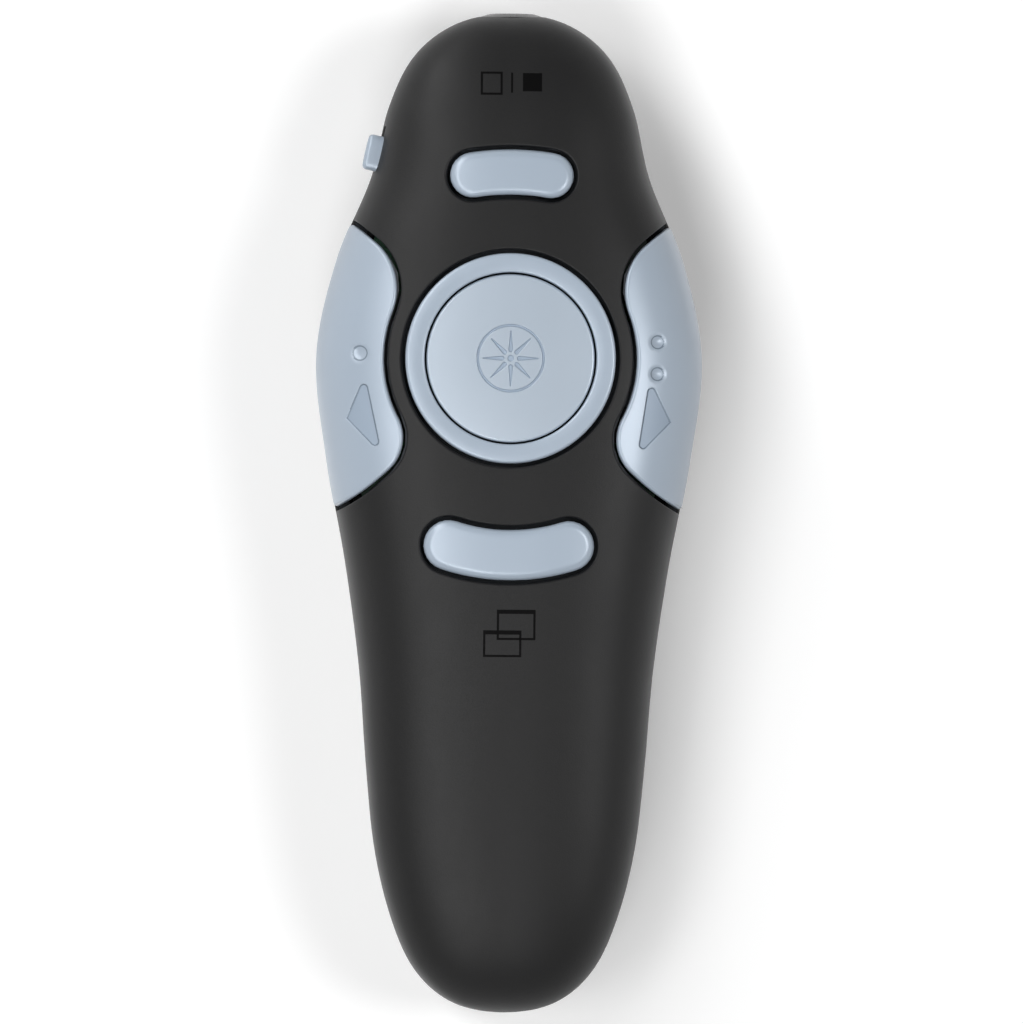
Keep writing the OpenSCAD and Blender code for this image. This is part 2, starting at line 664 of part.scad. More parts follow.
// --- Lock slider and its switch --------------------------------------------------
module lock_slider() color(key_blue) at_flank() {
    round_r = 0.6;
    crest = [knob_len / 2 - 2 * round_r, knob_h / 2 - 1.6 * round_r];
    hull() {
        for (y = [-1, 1], z = [-1, 1]) translate([round_r - knob_out, y * crest[0], z * crest[1]])
            sphere(round_r, $fn = 20);
        box([-round_r, -fit], span(0, knob_len), span(0, knob_h));
    }
    box([-fit - round_r, wall + slide_t], span(0, neck[0]), span(0, neck[1]));
    box([wall, wall + slide_t], span(0, slide_len), slide_z);
    box([wall + slide_t / 2, fork_x[1]], span(0, 2 * fork[1]), [fork_low, slide_z[1]]);
    for (s = [-1, 1]) box(fork_x, s > 0 ? fork : [-fork[1], -fork[0]], [fork_low, fork_top]);
}

switch_w = 3;
actuator_len = 2;
switch_len = actuator_len + lock_travel + 4.2;
switch_h = 2.4;
switch_slot = 1.6;
switch_low = board_top - lock_z;
actuator_z = [switch_low + 0.8, switch_low + 1.6];
module lock_switch_body() color(chip_black) at_flank() difference() {
    box([slide_room, slide_room + switch_w], span(lock_travel / 2, switch_len),
        [switch_low, switch_low + switch_h]);
    box([slide_room - over, slide_room + switch_slot], slide_span(actuator_len),
        [actuator_z[0] - 0.1, actuator_z[1] + 0.1]);
}

module lock_switch_actuator() color("ivory") at_flank()
    box([fork_x[0] + 0.1, slide_room + switch_slot - 0.1], span(0, actuator_len), actuator_z);

// --- Laser module ----------------------------------------------------------------
window_y = laser_front + 0.5;
window_t = 1;
module laser_bezel() color(chip_black) round_at_nose() {
    y0 = laser_front - 2.2;
    y1 = y0 + 0.9;
    front = half_len - 0.05;
    sag = 0.5;
    bevel = 0.15;
    bore = laser_r + 2 * press_gap;
    lip = bore - 0.5;
    flange = bezel_r + 0.5;
    face = [for (k = [0:4]) let (r = bezel_r - bevel + (lip + 2 * bevel - bezel_r) * k / 4)
        [r, front - sag * pow(r / bezel_r, 2)]];
    polygon(concat([[bore, y0], [flange, y0], [flange, y1], [bezel_r, y1], [bezel_r, face[0][1] - bevel]],
        face, [[lip, face[4][1] - bevel], [lip, window_y + window_t], [bore, window_y + window_t]]));
}

module laser_window() color("firebrick")
    rod_y([0, laser_z], [window_y, window_y + window_t], laser_r + press_gap);

barrel_t = 0.6;
diode_len = 5;
lead_way_r = 1.2;
module laser_barrel() color("#b08d45") difference() {
    rod_y([0, laser_z], [laser_back, laser_front], laser_r);
    rod_y([0, laser_z], [laser_back + diode_len, laser_front + over], laser_r - barrel_t);
    rod_y([0, laser_z], [laser_back - over, laser_back + diode_len + over], lead_way_r);
}

module laser_lens() color("lightcyan") round_at_nose() {
    r = laser_r - barrel_t - press_gap;
    y = laser_front - 1.6;
    bulge = 0.4;
    polygon(concat([for (k = [0:6]) [r * k / 6, y - bulge * (1 - pow(k / 6, 2))]],
        [for (k = [6:-1:0]) [r * k / 6, y + bulge + bulge * (1 - pow(k / 6, 2))]]));
}

driver_y = laser_back - 6.4;
driver_z = span(laser_z, 0.8);
driver_w = 5.2;
lead_x = [-1.6, 1.6];
lead_y = driver_y + 1.2;
lead_r = 0.45;
module laser_driver_board() color(board_green) difference() {
    union() {
        box(span(0, driver_w), [driver_y, laser_back - seat_gap], driver_z);
        box(span(0, 2.4), [driver_y + 2.4, driver_y + 4.6], [laser_z, laser_z + 1.3]);
    }
    for (x = lead_x) post([x, lead_y], [0, board_z], lead_r + press_gap);
}

module laser_leads() color("crimson")
    for (x = lead_x) post([x, lead_y], [driver_z[0], board_z], lead_r);

// --- Electronics -----------------------------------------------------------------
tact_places = [[0, dial_y], [0, dial_y + front_bar_r], [0, dial_y - rear_bar_r],
    side_stem, [-side_stem[0], side_stem[1]]];

module circuit_board() color(board_green) slab([board_z, board_top]) difference() {
    right = [for (k = [0:16]) let (y = board_y[0] + (board_y[1] - board_y[0]) * k / 16)
        [width_at(y) - board_inset, y]];
    polygon(concat(right, [for (p = reversed(right)) [-p[0], p[1]]]));
    for (p = board_posts) translate(p) circle(screw_r + fit);
    for (s = [-1, 1]) translate([s * (tab_x[0] + tab_x[1]) / 2, bay_y1 - plate_t / 2])
        square([tab_x[1] - tab_x[0] + 2 * fit, plate_t + 2 * fit], center = true);
}

tact_notch = 0.8;
module tact_switch_bodies() color(chip_black) for (p = tact_places) difference() {
    box(span(p[0], tact_w), span(p[1], tact_w), [board_top, tact_top]);
    post(p, [tact_top - plunger_in - key_travel - fit, tact_top + over], plunger_r + plunger_fit);
    for (x = [-1, 1], y = [-1, 1]) translate([p[0] + x * tact_w / 2, p[1] + y * tact_w / 2, tact_top])
        rotate(45) cube([tact_notch, tact_notch, 1], center = true);
}

module plunger(k) color("ivory") post(tact_places[k], [tact_top - plunger_in, plunger_top], plunger_r);
module laser_plunger() plunger(0);
module blank_screen_plunger() plunger(1);
module window_plunger() plunger(2);
module next_plunger() plunger(3);
module previous_plunger() plunger(4);

// A block on the circuit board: its middle, its length and width, and its height.
module on_board(at, size, h) box(span(at[0], size[0]), span(at[1], size[1]), [board_top, board_top + h]);
module chip(at, size, h, legs) {
    leg = [1.2, 0.3];
    pitch = size[1] / (legs + 1);
    color(chip_black) on_board(at, size, h);
    color(steel) for (k = [1:legs])
        on_board([at[0], at[1] - size[1] / 2 + pitch * k], [size[0] + leg[0], leg[1]], leg[1]);
}
chip_x = 8.6;
chip_y = board_y[0] + 11;
module controller_chip() chip([chip_x, chip_y], [4.4, 6.4], 1, 8);
module radio_chip() chip([-chip_x, chip_y], [4, 4], 0.9, 5);
module crystal() color(nickel) {
    at = [-chip_x, chip_y + 5.1];
    rim = 0.4;
    can = [3, 2];
    on_board(at, can, 0.8);
    on_board(at, [can[0] - rim, can[1] - rim], 1);
}
module chip_passives() color("tan") {
    small = [1, 0.5];
    for (k = [0:5]) on_board([chip_x - 4.1 + 1.7 * k, chip_y + 8.15], small, small[1]);
    right_and_left() for (k = [0:3]) on_board([4.8 + 2.2 * k, dial_y + 10.3], [1.2, 0.6], small[1]);
    on_board([-0.6, dial_y + 16.1], [3.6, 3], 1.4);
}

// A cross-head screw. Its head's seat is at z and its shaft runs towards up.
module screw(at, z, up, length) color(steel) translate([at[0], at[1], z]) {
    recess = [2, 0.4, 0.6];
    shaft = up > 0 ? [0, length] : [-length, 0];
    head = up > 0 ? [-head_t, 0] : [0, head_t];
    face = up > 0 ? [-head_t - over, recess[2] - head_t] : [head_t - recess[2], head_t + over];
    difference() {
        union() {
            post([0, 0], head, head_r);
            post([0, 0], shaft, screw_r);
        }
        box(span(0, recess[1]), span(0, recess[0]), face);
        box(span(0, recess[0]), span(0, recess[1]), face);
    }
}
module board_screws() for (p = board_posts) screw(p, board_top, -1, board_top - board_screw_low);
module housing_screws() for (s = housing_screw_list) screw(s[0], s[1], 1, s[2] + screw_grip - s[1]);

// --- Power -----------------------------------------------------------------------
// An AAA cell on its axis, from its nub to its flat end. The right one's nub faces the nose.
module cell(s) color("#7d8a92") translate([s * cell_x, s > 0 ? bay_y1 - plate_t : bay_y0 + plate_t, cell_z])
    rotate([s > 0 ? 90 : -90, 0, 0]) rotate_extrude()
    polygon([[0, 0], [nub[0], 0], [nub[0], nub[1]], [cell_r - 2 * crimp, nub[1]],
        [cell_r - crimp, nub[1] + 0.3], [cell_r, nub[1] + 0.8], [cell_r, cell_len - crimp],
        [cell_r - crimp, cell_len], [0, cell_len]]);
module cell_right() cell(1);
module cell_left() cell(-1);

plate_w = 8.2;
contact_z = span(cell_z, plate_w - 0.2);
tab_out = 0.6;
module bridge_plate() color(nickel)
    box(span(0, 2 * cell_x + plate_w), [bay_y0, bay_y0 + plate_t], contact_z);
module terminal(s) color(nickel) {
    box(span(s * cell_x, plate_w), [bay_y1 - plate_t, bay_y1], contact_z);
    box((s > 0 ? tab_x : [-tab_x[1], -tab_x[0]]), [bay_y1 - plate_t, bay_y1], [cell_z, board_top + tab_out]);
}
module positive_terminal() terminal(1);
module negative_terminal() terminal(-1);

// A conical spring swept along its coil, wide on the plate and narrow on the cell.
module contact_spring() color(nickel) {
    wire_r = 0.35;
    base_r = 3.6;
    tip_r = 2.1;
    end_gap = 0.03;
    turns = 3.5;
    steps = 36;
    sides = 6;
    loft([for (i = [0:steps]) let (f = i / steps, a = 360 * turns * f, r = base_r + (tip_r - base_r) * f,
            z = wire_r + end_gap + (spring_len - 2 * (wire_r + end_gap)) * f)
        [for (j = [0:sides - 1]) let (b = 360 * j / sides)
            [(r + wire_r * cos(b)) * cos(a), (r + wire_r * cos(b)) * sin(a), z + wire_r * sin(b)]]]);
}
module bridge_spring() translate([cell_x, bay_y0 + plate_t, cell_z]) rotate([-90, 0, 0]) contact_spring();
module negative_spring() translate([-cell_x, bay_y1 - plate_t, cell_z]) rotate([90, 0, 0]) contact_spring();

// --- Receiver --------------------------------------------------------------------
cap_groove_top = receiver_z - cap_h / 2 + 0.3;
plug_skin = 0.3;
tongue_t = 1.8;
tongue_top = receiver_z - plug_h / 2 + plug_skin + tongue_t;
module receiver_cap() color(black) difference() {
    r = 1.2;
    translate([0, cap_y1, receiver_z]) rotate([90, 0, 0]) linear_extrude(cap_len) union() {
        square([cap_w - 2 * r, cap_h], center = true);
        square([cap_w, cap_h - 2 * r], center = true);
        for (x = [-1, 1], z = [-1, 1]) translate([x * (cap_w / 2 - r), z * (cap_h / 2 - r)]) circle(r);
    }
    for (k = [0:3]) box(span(0, 10), span(cap_y1 - 1.6 - 1.1 * k, 0.5), [-over, cap_groove_top]);
}
module receiver_plug_shell() color(nickel) difference() {
    inside = [plug_w - 2 * plug_skin, plug_h - 2 * plug_skin];
    box(span(0, plug_w), [plug_y0, cap_y0], span(receiver_z, plug_h));
    box(span(0, inside[0]), [plug_y0 - over, cap_y0 + over], span(receiver_z, inside[1]));
    for (x = [-2.5, 2.5], z = [-1, 1]) translate([x, plug_y0 + 6, receiver_z + z * plug_h / 2])
        cube([2, 2.4, 1], center = true);
}
module receiver_tongue() color("ivory")
    box(span(0, plug_w - 2 * plug_skin - 2 * press_gap), [plug_y0 + 0.6, cap_y0],
        [tongue_top - tongue_t, tongue_top]);
module receiver_contacts() color(gold) for (k = [0:3])
    box(span((k - 1.5) * 2.3, 1), [plug_y0 + (k == 0 || k == 3 ? 1.4 : 2.4), plug_y0 + 9],
        [tongue_top, tongue_top + 0.2]);

top_shell();
bottom_shell();
battery_door();
previous_key();
next_key();
blank_screen_key();
window_key();
laser_key();
trim_ring();
lock_slider();
laser_bezel();
laser_window();
laser_barrel();
laser_lens();
laser_driver_board();
laser_leads();
circuit_board();
tact_switch_bodies();
blank_screen_plunger();
window_plunger();
laser_plunger();
previous_plunger();
next_plunger();
lock_switch_body();
lock_switch_actuator();
controller_chip();
radio_chip();
crystal();
chip_passives();
board_screws();
housing_screws();
cell_right();
cell_left();
bridge_plate();
bridge_spring();
positive_terminal();
negative_terminal();
negative_spring();
receiver_cap();
receiver_plug_shell();
receiver_tongue();
receiver_contacts();
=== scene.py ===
"""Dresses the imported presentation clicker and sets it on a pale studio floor.

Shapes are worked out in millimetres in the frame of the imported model: +Y towards the laser
nose, +Z up through the keys. They become metres when their meshes are made. Each moulded
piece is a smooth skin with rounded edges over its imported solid, which is drawn in under it.
"""
from __future__ import annotations

import logging
import math
from collections.abc import Callable, Sequence
from dataclasses import dataclass
from enum import Enum

import bpy
import numpy as np
from mathutils import Matrix, Vector
from mathutils.geometry import delaunay_2d_cdt
from mathutils.kdtree import KDTree


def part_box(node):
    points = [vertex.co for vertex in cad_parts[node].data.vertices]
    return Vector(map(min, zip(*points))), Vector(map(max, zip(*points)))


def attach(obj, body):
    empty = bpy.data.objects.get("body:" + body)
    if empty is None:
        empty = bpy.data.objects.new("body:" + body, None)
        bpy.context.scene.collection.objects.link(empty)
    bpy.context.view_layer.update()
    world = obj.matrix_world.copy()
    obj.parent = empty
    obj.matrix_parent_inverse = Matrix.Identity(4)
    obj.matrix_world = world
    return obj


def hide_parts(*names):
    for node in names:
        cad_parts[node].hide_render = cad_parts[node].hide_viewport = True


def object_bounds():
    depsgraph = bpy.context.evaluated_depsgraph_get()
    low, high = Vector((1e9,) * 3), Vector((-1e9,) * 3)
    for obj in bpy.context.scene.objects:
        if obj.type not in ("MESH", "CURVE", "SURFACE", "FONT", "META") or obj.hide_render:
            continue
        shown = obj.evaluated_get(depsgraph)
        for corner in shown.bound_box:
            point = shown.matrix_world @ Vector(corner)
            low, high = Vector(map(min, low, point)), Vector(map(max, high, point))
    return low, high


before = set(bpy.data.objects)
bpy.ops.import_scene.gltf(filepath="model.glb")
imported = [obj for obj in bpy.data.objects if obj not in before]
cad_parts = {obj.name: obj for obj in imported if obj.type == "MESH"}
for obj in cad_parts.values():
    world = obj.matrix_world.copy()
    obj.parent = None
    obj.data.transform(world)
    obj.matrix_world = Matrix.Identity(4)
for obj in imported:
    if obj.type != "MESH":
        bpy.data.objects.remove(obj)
CAD_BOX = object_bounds()

MM = 0.001
SHARP_ANGLE = 32.0
EDGE_STEPS = 5
MERGE = 1e-6
SLIVER = 1e-9
log = logging.getLogger("clicker")
Array = np.ndarray
Color = tuple[float, float, float]
Circle = tuple[float, float, float]
Box = tuple[float, float, float, float]
Rows = Sequence[tuple[float, float]]


def packed(node: str) -> tuple[Array, Array]:
    """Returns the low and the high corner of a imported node, in millimetres."""
    return tuple(np.round(np.array(corner) / MM, 4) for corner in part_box(node))


class Body(Enum):
    """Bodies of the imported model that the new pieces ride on."""

    HOUSING = "housing"
    LASER_BUTTON = "laser_button"
    BLANK_SCREEN_BUTTON = "blank_screen_button"
    WINDOW_BUTTON = "window_button"
    PREVIOUS_BUTTON = "previous_button"
    NEXT_BUTTON = "next_button"
    LOCK = "lock"
    DOOR = "door"


class Slot(Enum):
    """Material slots of the record that the new pieces' finishes belong to."""

    SOFT_BLACK = "soft_black"
    KEY_BLUE = "key_blue"
    HARD_BLACK = "hard_black"
    NICKEL = "nickel"
    CELL_WRAP = "cell_wrap"


class Half(Enum):
    """The two halves of the body's section, by the sign of their side of the parting plane."""

    CROWN = 1
    BELLY = -1


# --- Shader building --------------------------------------------------------------


class Socket:
    """An output socket that takes part in Python arithmetic by adding Math nodes."""

    def __init__(self, shader: Shader, link: bpy.types.NodeSocket) -> None:
        """Wraps an output socket of a shader."""
        self.shader = shader
        self.link = link

    def _math(self, operation: str, first: Value, second: Value) -> Socket:
        """Returns the result of a Math node on two values."""
        return self.shader.node("ShaderNodeMath", {"operation": operation}, {0: first, 1: second})

    def __add__(self, other: Value) -> Socket:
        """Returns self + other."""
        return self._math("ADD", self, other)

    __radd__ = __add__

    def __mul__(self, other: Value) -> Socket:
        """Returns self * other."""
        return self._math("MULTIPLY", self, other)

    __rmul__ = __mul__

    def __sub__(self, other: Value) -> Socket:
        """Returns self - other."""
        return self._math("SUBTRACT", self, other)

    def __rsub__(self, other: Value) -> Socket:
        """Returns other - self."""
        return self._math("SUBTRACT", other, self)

    def __gt__(self, other: Value) -> Socket:
        """Returns 1 where self is greater than other, else 0."""
        return self._math("GREATER_THAN", self, other)

    def __lt__(self, other: Value) -> Socket:
        """Returns 1 where self is less than other, else 0."""
        return self._math("LESS_THAN", self, other)


Value = Socket | float | Sequence[float]


class Shader:
    """One material's node tree, built from expressions."""

    def __init__(self, owner: bpy.types.Material | bpy.types.World) -> None:
        """Starts an empty tree.

        Args:
            owner: The material or the world that the tree belongs to.
        """
        self.owner = owner
        owner.use_nodes = True
        self.tree = owner.node_tree
        self.tree.nodes.clear()

    @classmethod
    def new(cls, name: str) -> Shader:
        """Returns the shader of a new material."""
        return cls(bpy.data.materials.new(name))

    def node(self, kind: str, settings: dict[str, object] | None = None,
             inputs: dict[str | int, Value] | None = None, output: str | int = 0) -> Socket:
        """Adds a node of any type.

        Args:
            kind: The node's type.
            settings: Its properties, set first.
            inputs: Values or links of its sockets, by name or index.
            output: The output socket that is returned, by name or index.

        Returns:
            The chosen output, or the first input of a node that ends the tree.
        """
        made = self.tree.nodes.new(kind)
        for key, value in (settings or {}).items():
            setattr(made, key, value)
        for key, value in (inputs or {}).items():
            if isinstance(value, Socket):
                self.tree.links.new(value.link, made.inputs[key])
            else:
                made.inputs[key].default_value = value
        return Socket(self, made.outputs[output] if len(made.outputs) else made.inputs[0])

    def place(self) -> Socket:
        """Returns the place on the object, in metres."""
        return self.node("ShaderNodeTexCoord", output="Object")

    def noise(self, size: float, detail: float = 2.0, stretch: Color = (1.0, 1.0, 1.0)) -> Socket:
        """Returns a noise with features of about size millimetres, longer where stretch is below 1."""
        place = self.node("ShaderNodeVectorMath", {"operation": "MULTIPLY"}, {0: self.place(), 1: stretch})
        return self.node("ShaderNodeTexNoise",
                         inputs={"Vector": place, "Scale": 1 / (size * MM), "Detail": detail})

    def tint(self, color: Color, amount: Value) -> Socket:
        """Returns a colour scaled by a factor."""
        return self.node("ShaderNodeVectorMath", {"operation": "SCALE"}, {0: color, "Scale": amount})

    def blend(self, amount: Value, first: Color, second: Color) -> Socket:
        """Returns the mix of two colours: the first where the amount is 0, the second where it is 1."""
        inputs = {0: amount, 6: (*first, 1.0), 7: (*second, 1.0)}
        return self.node("ShaderNodeMix", {"data_type": "RGBA"}, inputs, output=2)

    def bump(self, height: Value, depth: float) -> Socket:
        """Returns the normal of a height from 0 to 1, where 1 stands for depth in millimetres."""
        return self.node("ShaderNodeBump", inputs={"Strength": 1.0, "Distance": depth * MM, "Height": height})

    def finish(self, inputs: dict[str | int, Value]) -> bpy.types.Material:
        """Ends the tree in a Principled surface and returns the material."""
        surface = self.node("ShaderNodeBsdfPrincipled", inputs=inputs)
        return self.show(surface)

    def show(self, surface: Socket) -> bpy.types.Material:
        """Links a surface to the output and returns the material."""
        self.node("ShaderNodeOutputMaterial", inputs={"Surface": surface})
        return self.owner


# --- Finishes ---------------------------------------------------------------------


@dataclass(frozen=True)
class Moulded:
    """A moulded or coated plastic with a fine grain, faint mottling and uneven gloss."""

    name: str
    color: Color
    roughness: float = 0.5
    specular: float = 0.5
    grain_size: float = 0.14
    grain_depth: float = 0.004
    mottle: float = 0.06
    gloss_drift: float = 0.06
    coat: float = 0.0
    coat_roughness: float = 0.2
    pearl: float = 0.0
    cloud_size: float = 9.0
    smear_size: float = 3.0

    def material(self) -> bpy.types.Material:
        """Builds the finish.

        Returns:
            The material.
        """
        shader = Shader.new(self.name)
        grain = shader.noise(self.grain_size, 3.0)
        clouds = shader.noise(self.cloud_size, 3.0)
        smears = shader.noise(self.smear_size, 4.0, (1.0, 0.35, 1.0))
        speckle = shader.noise(self.grain_size * 1.7, 1.0)
        tone = 1 - self.mottle / 2 + self.mottle * (0.6 * clouds + 0.4 * speckle)
        return shader.finish({
            "Base Color": shader.tint(self.color, tone),
            "Roughness": self.roughness - self.gloss_drift / 2 + self.gloss_drift * smears,
            "Specular IOR Level": self.specular,
            "Coat Weight": self.coat,
            "Coat Roughness": self.coat_roughness,
            "Metallic": self.pearl,
            "Normal": shader.bump(grain, self.grain_depth)})


@dataclass(frozen=True)
class Metal:
    """A bright or plated metal with fine drawing marks along one axis."""

    name: str
    color: Color
    roughness: float = 0.28
    drawn: Color = (1.0, 0.06, 1.0)
    mark_size: float = 0.09
    mark_depth: float = 0.002
    stain_size: float = 2.4
    tarnish: float = 0.12

    def material(self) -> bpy.types.Material:
        """Builds the finish.

        Returns:
            The material.
        """
        shader = Shader.new(self.name)
        marks = shader.noise(self.mark_size, 3.0, self.drawn)
        stains = shader.noise(self.stain_size, 4.0)
        return shader.finish({
            "Base Color": shader.tint(self.color, 1 - self.tarnish / 2 + self.tarnish * stains),
            "Metallic": 1.0,
            "Roughness": self.roughness - 0.06 + 0.12 * marks,
            "Normal": shader.bump(marks, self.mark_depth)})


@dataclass(frozen=True)
class ClearPlastic:
    """A clear or tinted plastic."""

    name: str
    color: Color
    transmission: float = 0.8
    roughness: float = 0.06
    flow_size: float = 1.2

    def material(self) -> bpy.types.Material:
        """Builds the finish.

        Returns:
            The material.
        """
        shader = Shader.new(self.name)
        flow = shader.noise(self.flow_size)
        return shader.finish({
            "Base Color": shader.tint(self.color, 0.92 + 0.16 * flow),
            "Roughness": self.roughness + 0.04 * flow,
            "Transmission Weight": self.transmission,
            "IOR": 1.49,
            "Normal": shader.bump(flow, 0.002)})


@dataclass(frozen=True)
class BoardMask:
    """Solder mask over copper tracks on a glass-fibre board."""

    name: str = "solder_mask"
    mask: Color = (0.008, 0.085, 0.035)
    track: Color = (0.02, 0.16, 0.06)
    pitch: float = 1.6
    track_band: tuple[float, float] = (0.46, 0.62)
    weave_size: float = 0.35

    def material(self) -> bpy.types.Material:
        """Builds the finish.

        Returns:
            The material.
        """
        shader = Shader.new(self.name)
        cells = shader.node("ShaderNodeTexVoronoi", {"distance": "MANHATTAN", "feature": "F1"},
                            {"Vector": shader.place(), "Scale": 1 / (self.pitch * MM), "Randomness": 0.6})
        tracks = (cells > self.track_band[0]) * (cells < self.track_band[1])
        weave = shader.noise(self.weave_size, 1.0)
        return shader.finish({
            "Base Color": shader.blend(tracks, self.mask, self.track),
            "Roughness": 0.3 + 0.15 * weave,
            "Coat Weight": 0.4,
            "Normal": shader.bump(0.3 * weave + 0.7 * tracks, 0.03)})


SOFT_TOUCH = Moulded("soft_touch_black", (0.0028, 0.0028, 0.0031), roughness=0.5, specular=0.31,
    grain_size=0.2, grain_depth=0.014, mottle=0.3, gloss_drift=0.08)
SATIN_BLUE = Moulded("satin_blue_grey", (0.375, 0.445, 0.53), roughness=0.36, specular=0.8,
    grain_size=0.09, grain_depth=0.0014, mottle=0.03, gloss_drift=0.05, pearl=0.12)
SATIN_DISC = Moulded("satin_light_blue", (0.42, 0.49, 0.57), roughness=0.33, specular=1.0, grain_size=0.09,
    grain_depth=0.0014, mottle=0.03, gloss_drift=0.05, pearl=0.14)
# Painted shade on the walls of the side keys' dots and arrows.
WALL_SHADE = Moulded("painted_wall_shade", (0.19, 0.235, 0.29), roughness=0.5, specular=0.3, grain_size=0.09,
    grain_depth=0.0014, mottle=0.05, gloss_drift=0.05)
# Painted shade on the arrows' floors and in the starburst's grooves on the laser key.
HOLLOW_SHADE = Moulded("painted_hollow_shade", (0.33, 0.4, 0.49), roughness=0.45, specular=0.4, grain_size=0.09,
    grain_depth=0.0014, mottle=0.05, gloss_drift=0.05, pearl=0.1)
# Near-black painted onto the drawn-in cores: painted shade in the gaps round the keys and the ring.
GAP_SHADE_BLACK = Moulded("painted_gap_shade", (0.025, 0.029, 0.034), roughness=0.6, specular=0.3,
    grain_size=0.3, grain_depth=0.004, mottle=0.1, gloss_drift=0.06)
HARD_BLACK = Moulded("hard_black", (0.014, 0.014, 0.015), roughness=0.28, specular=0.5, grain_size=0.3,
    grain_depth=0.003, mottle=0.1, gloss_drift=0.06)
PRINT_BLACK = Moulded("printed_black", (0.002, 0.002, 0.0021), roughness=0.5, specular=0.05,
    grain_size=0.08, grain_depth=0.002, mottle=0.1, gloss_drift=0.05)
CHIP_EPOXY = Moulded("chip_epoxy", (0.018, 0.018, 0.019), roughness=0.62, specular=0.4, grain_size=0.06,
    grain_depth=0.006, mottle=0.15, gloss_drift=0.1)
IVORY_PLASTIC = Moulded("ivory_plastic", (0.78, 0.74, 0.62), roughness=0.42, specular=0.5, grain_size=0.2,
    grain_depth=0.002, mottle=0.03, gloss_drift=0.05)
CERAMIC = Moulded("ceramic_tan", (0.42, 0.31, 0.2), roughness=0.55, specular=0.4, grain_size=0.1,
    grain_depth=0.004, mottle=0.2, gloss_drift=0.08)
SLEEVE = Moulded("cell_sleeve", (0.12, 0.2, 0.24), roughness=0.24, specular=0.5, grain_size=0.8,
    grain_depth=0.006, mottle=0.06, gloss_drift=0.08, coat=0.5, coat_roughness=0.1)
LEAD_RED = Moulded("lead_insulation", (0.45, 0.02, 0.02), roughness=0.4, specular=0.5, grain_size=0.2,
    grain_depth=0.004, mottle=0.06, gloss_drift=0.06)
NICKEL = Metal("bright_nickel", (0.78, 0.77, 0.74), roughness=0.24)
SCREW_STEEL = Metal("screw_steel", (0.52, 0.53, 0.55), roughness=0.32, drawn=(1.0, 1.0, 0.2))
BRASS = Metal("turned_brass", (0.72, 0.5, 0.2), roughness=0.26, drawn=(1.0, 6.0, 1.0))
GOLD = Metal("gold_plate", (0.9, 0.66, 0.28), roughness=0.2)
LENS = ClearPlastic("clear_lens", (0.9, 0.95, 1.0), transmission=0.95, roughness=0.02)
WINDOW_RED = ClearPlastic("red_window", (0.5, 0.01, 0.012), transmission=0.45, roughness=0.08)


# --- The body's outer surface -----------------------------------------------------


def spline_share(shape: Array, u: Array) -> Array:
    """Evaluates a Catmull-Rom curve through equally spaced shares, odd about both ends.

    Args:
        shape: The shares, from the nose (0 degrees) to the tail (180 degrees).
        u: Angles from the nose, in degrees.

    Returns:
        The share at each angle.
    """
    last = len(shape) - 1
    t = np.asarray(u) / 180 * last
    i = np.clip(np.floor(t).astype(int), 0, last - 1)
    f = t - i
    wide = np.concatenate(([-shape[1]], shape, [-shape[last - 1]]))
    a, b, c, d = (wide[i + k] for k in range(4))
    return b + 0.5 * f * (c - a + f * (2 * a - 5 * b + 4 * c - d + f * (3 * b - a - 3 * c + d)))


def unit(v: Array) -> Array:
    """Returns rows scaled to length 1."""
    return v / np.maximum(np.linalg.norm(v, axis=-1, keepdims=True), 1e-12)


def bisect(low: Array, high: Array, past: Callable[[Array], Array]) -> Array:
    """Finds where a condition starts to hold.

    Args:
        low: Values at which it doesn't hold.
        high: Values at which it holds.
        past: Tells where it holds.

    Returns:
        The values at the change.
    """
    for _ in range(40):
        middle = (low + high) / 2
        held = past(middle)
        low, high = np.where(held, low, middle), np.where(held, middle, high)
    return (low + high) / 2


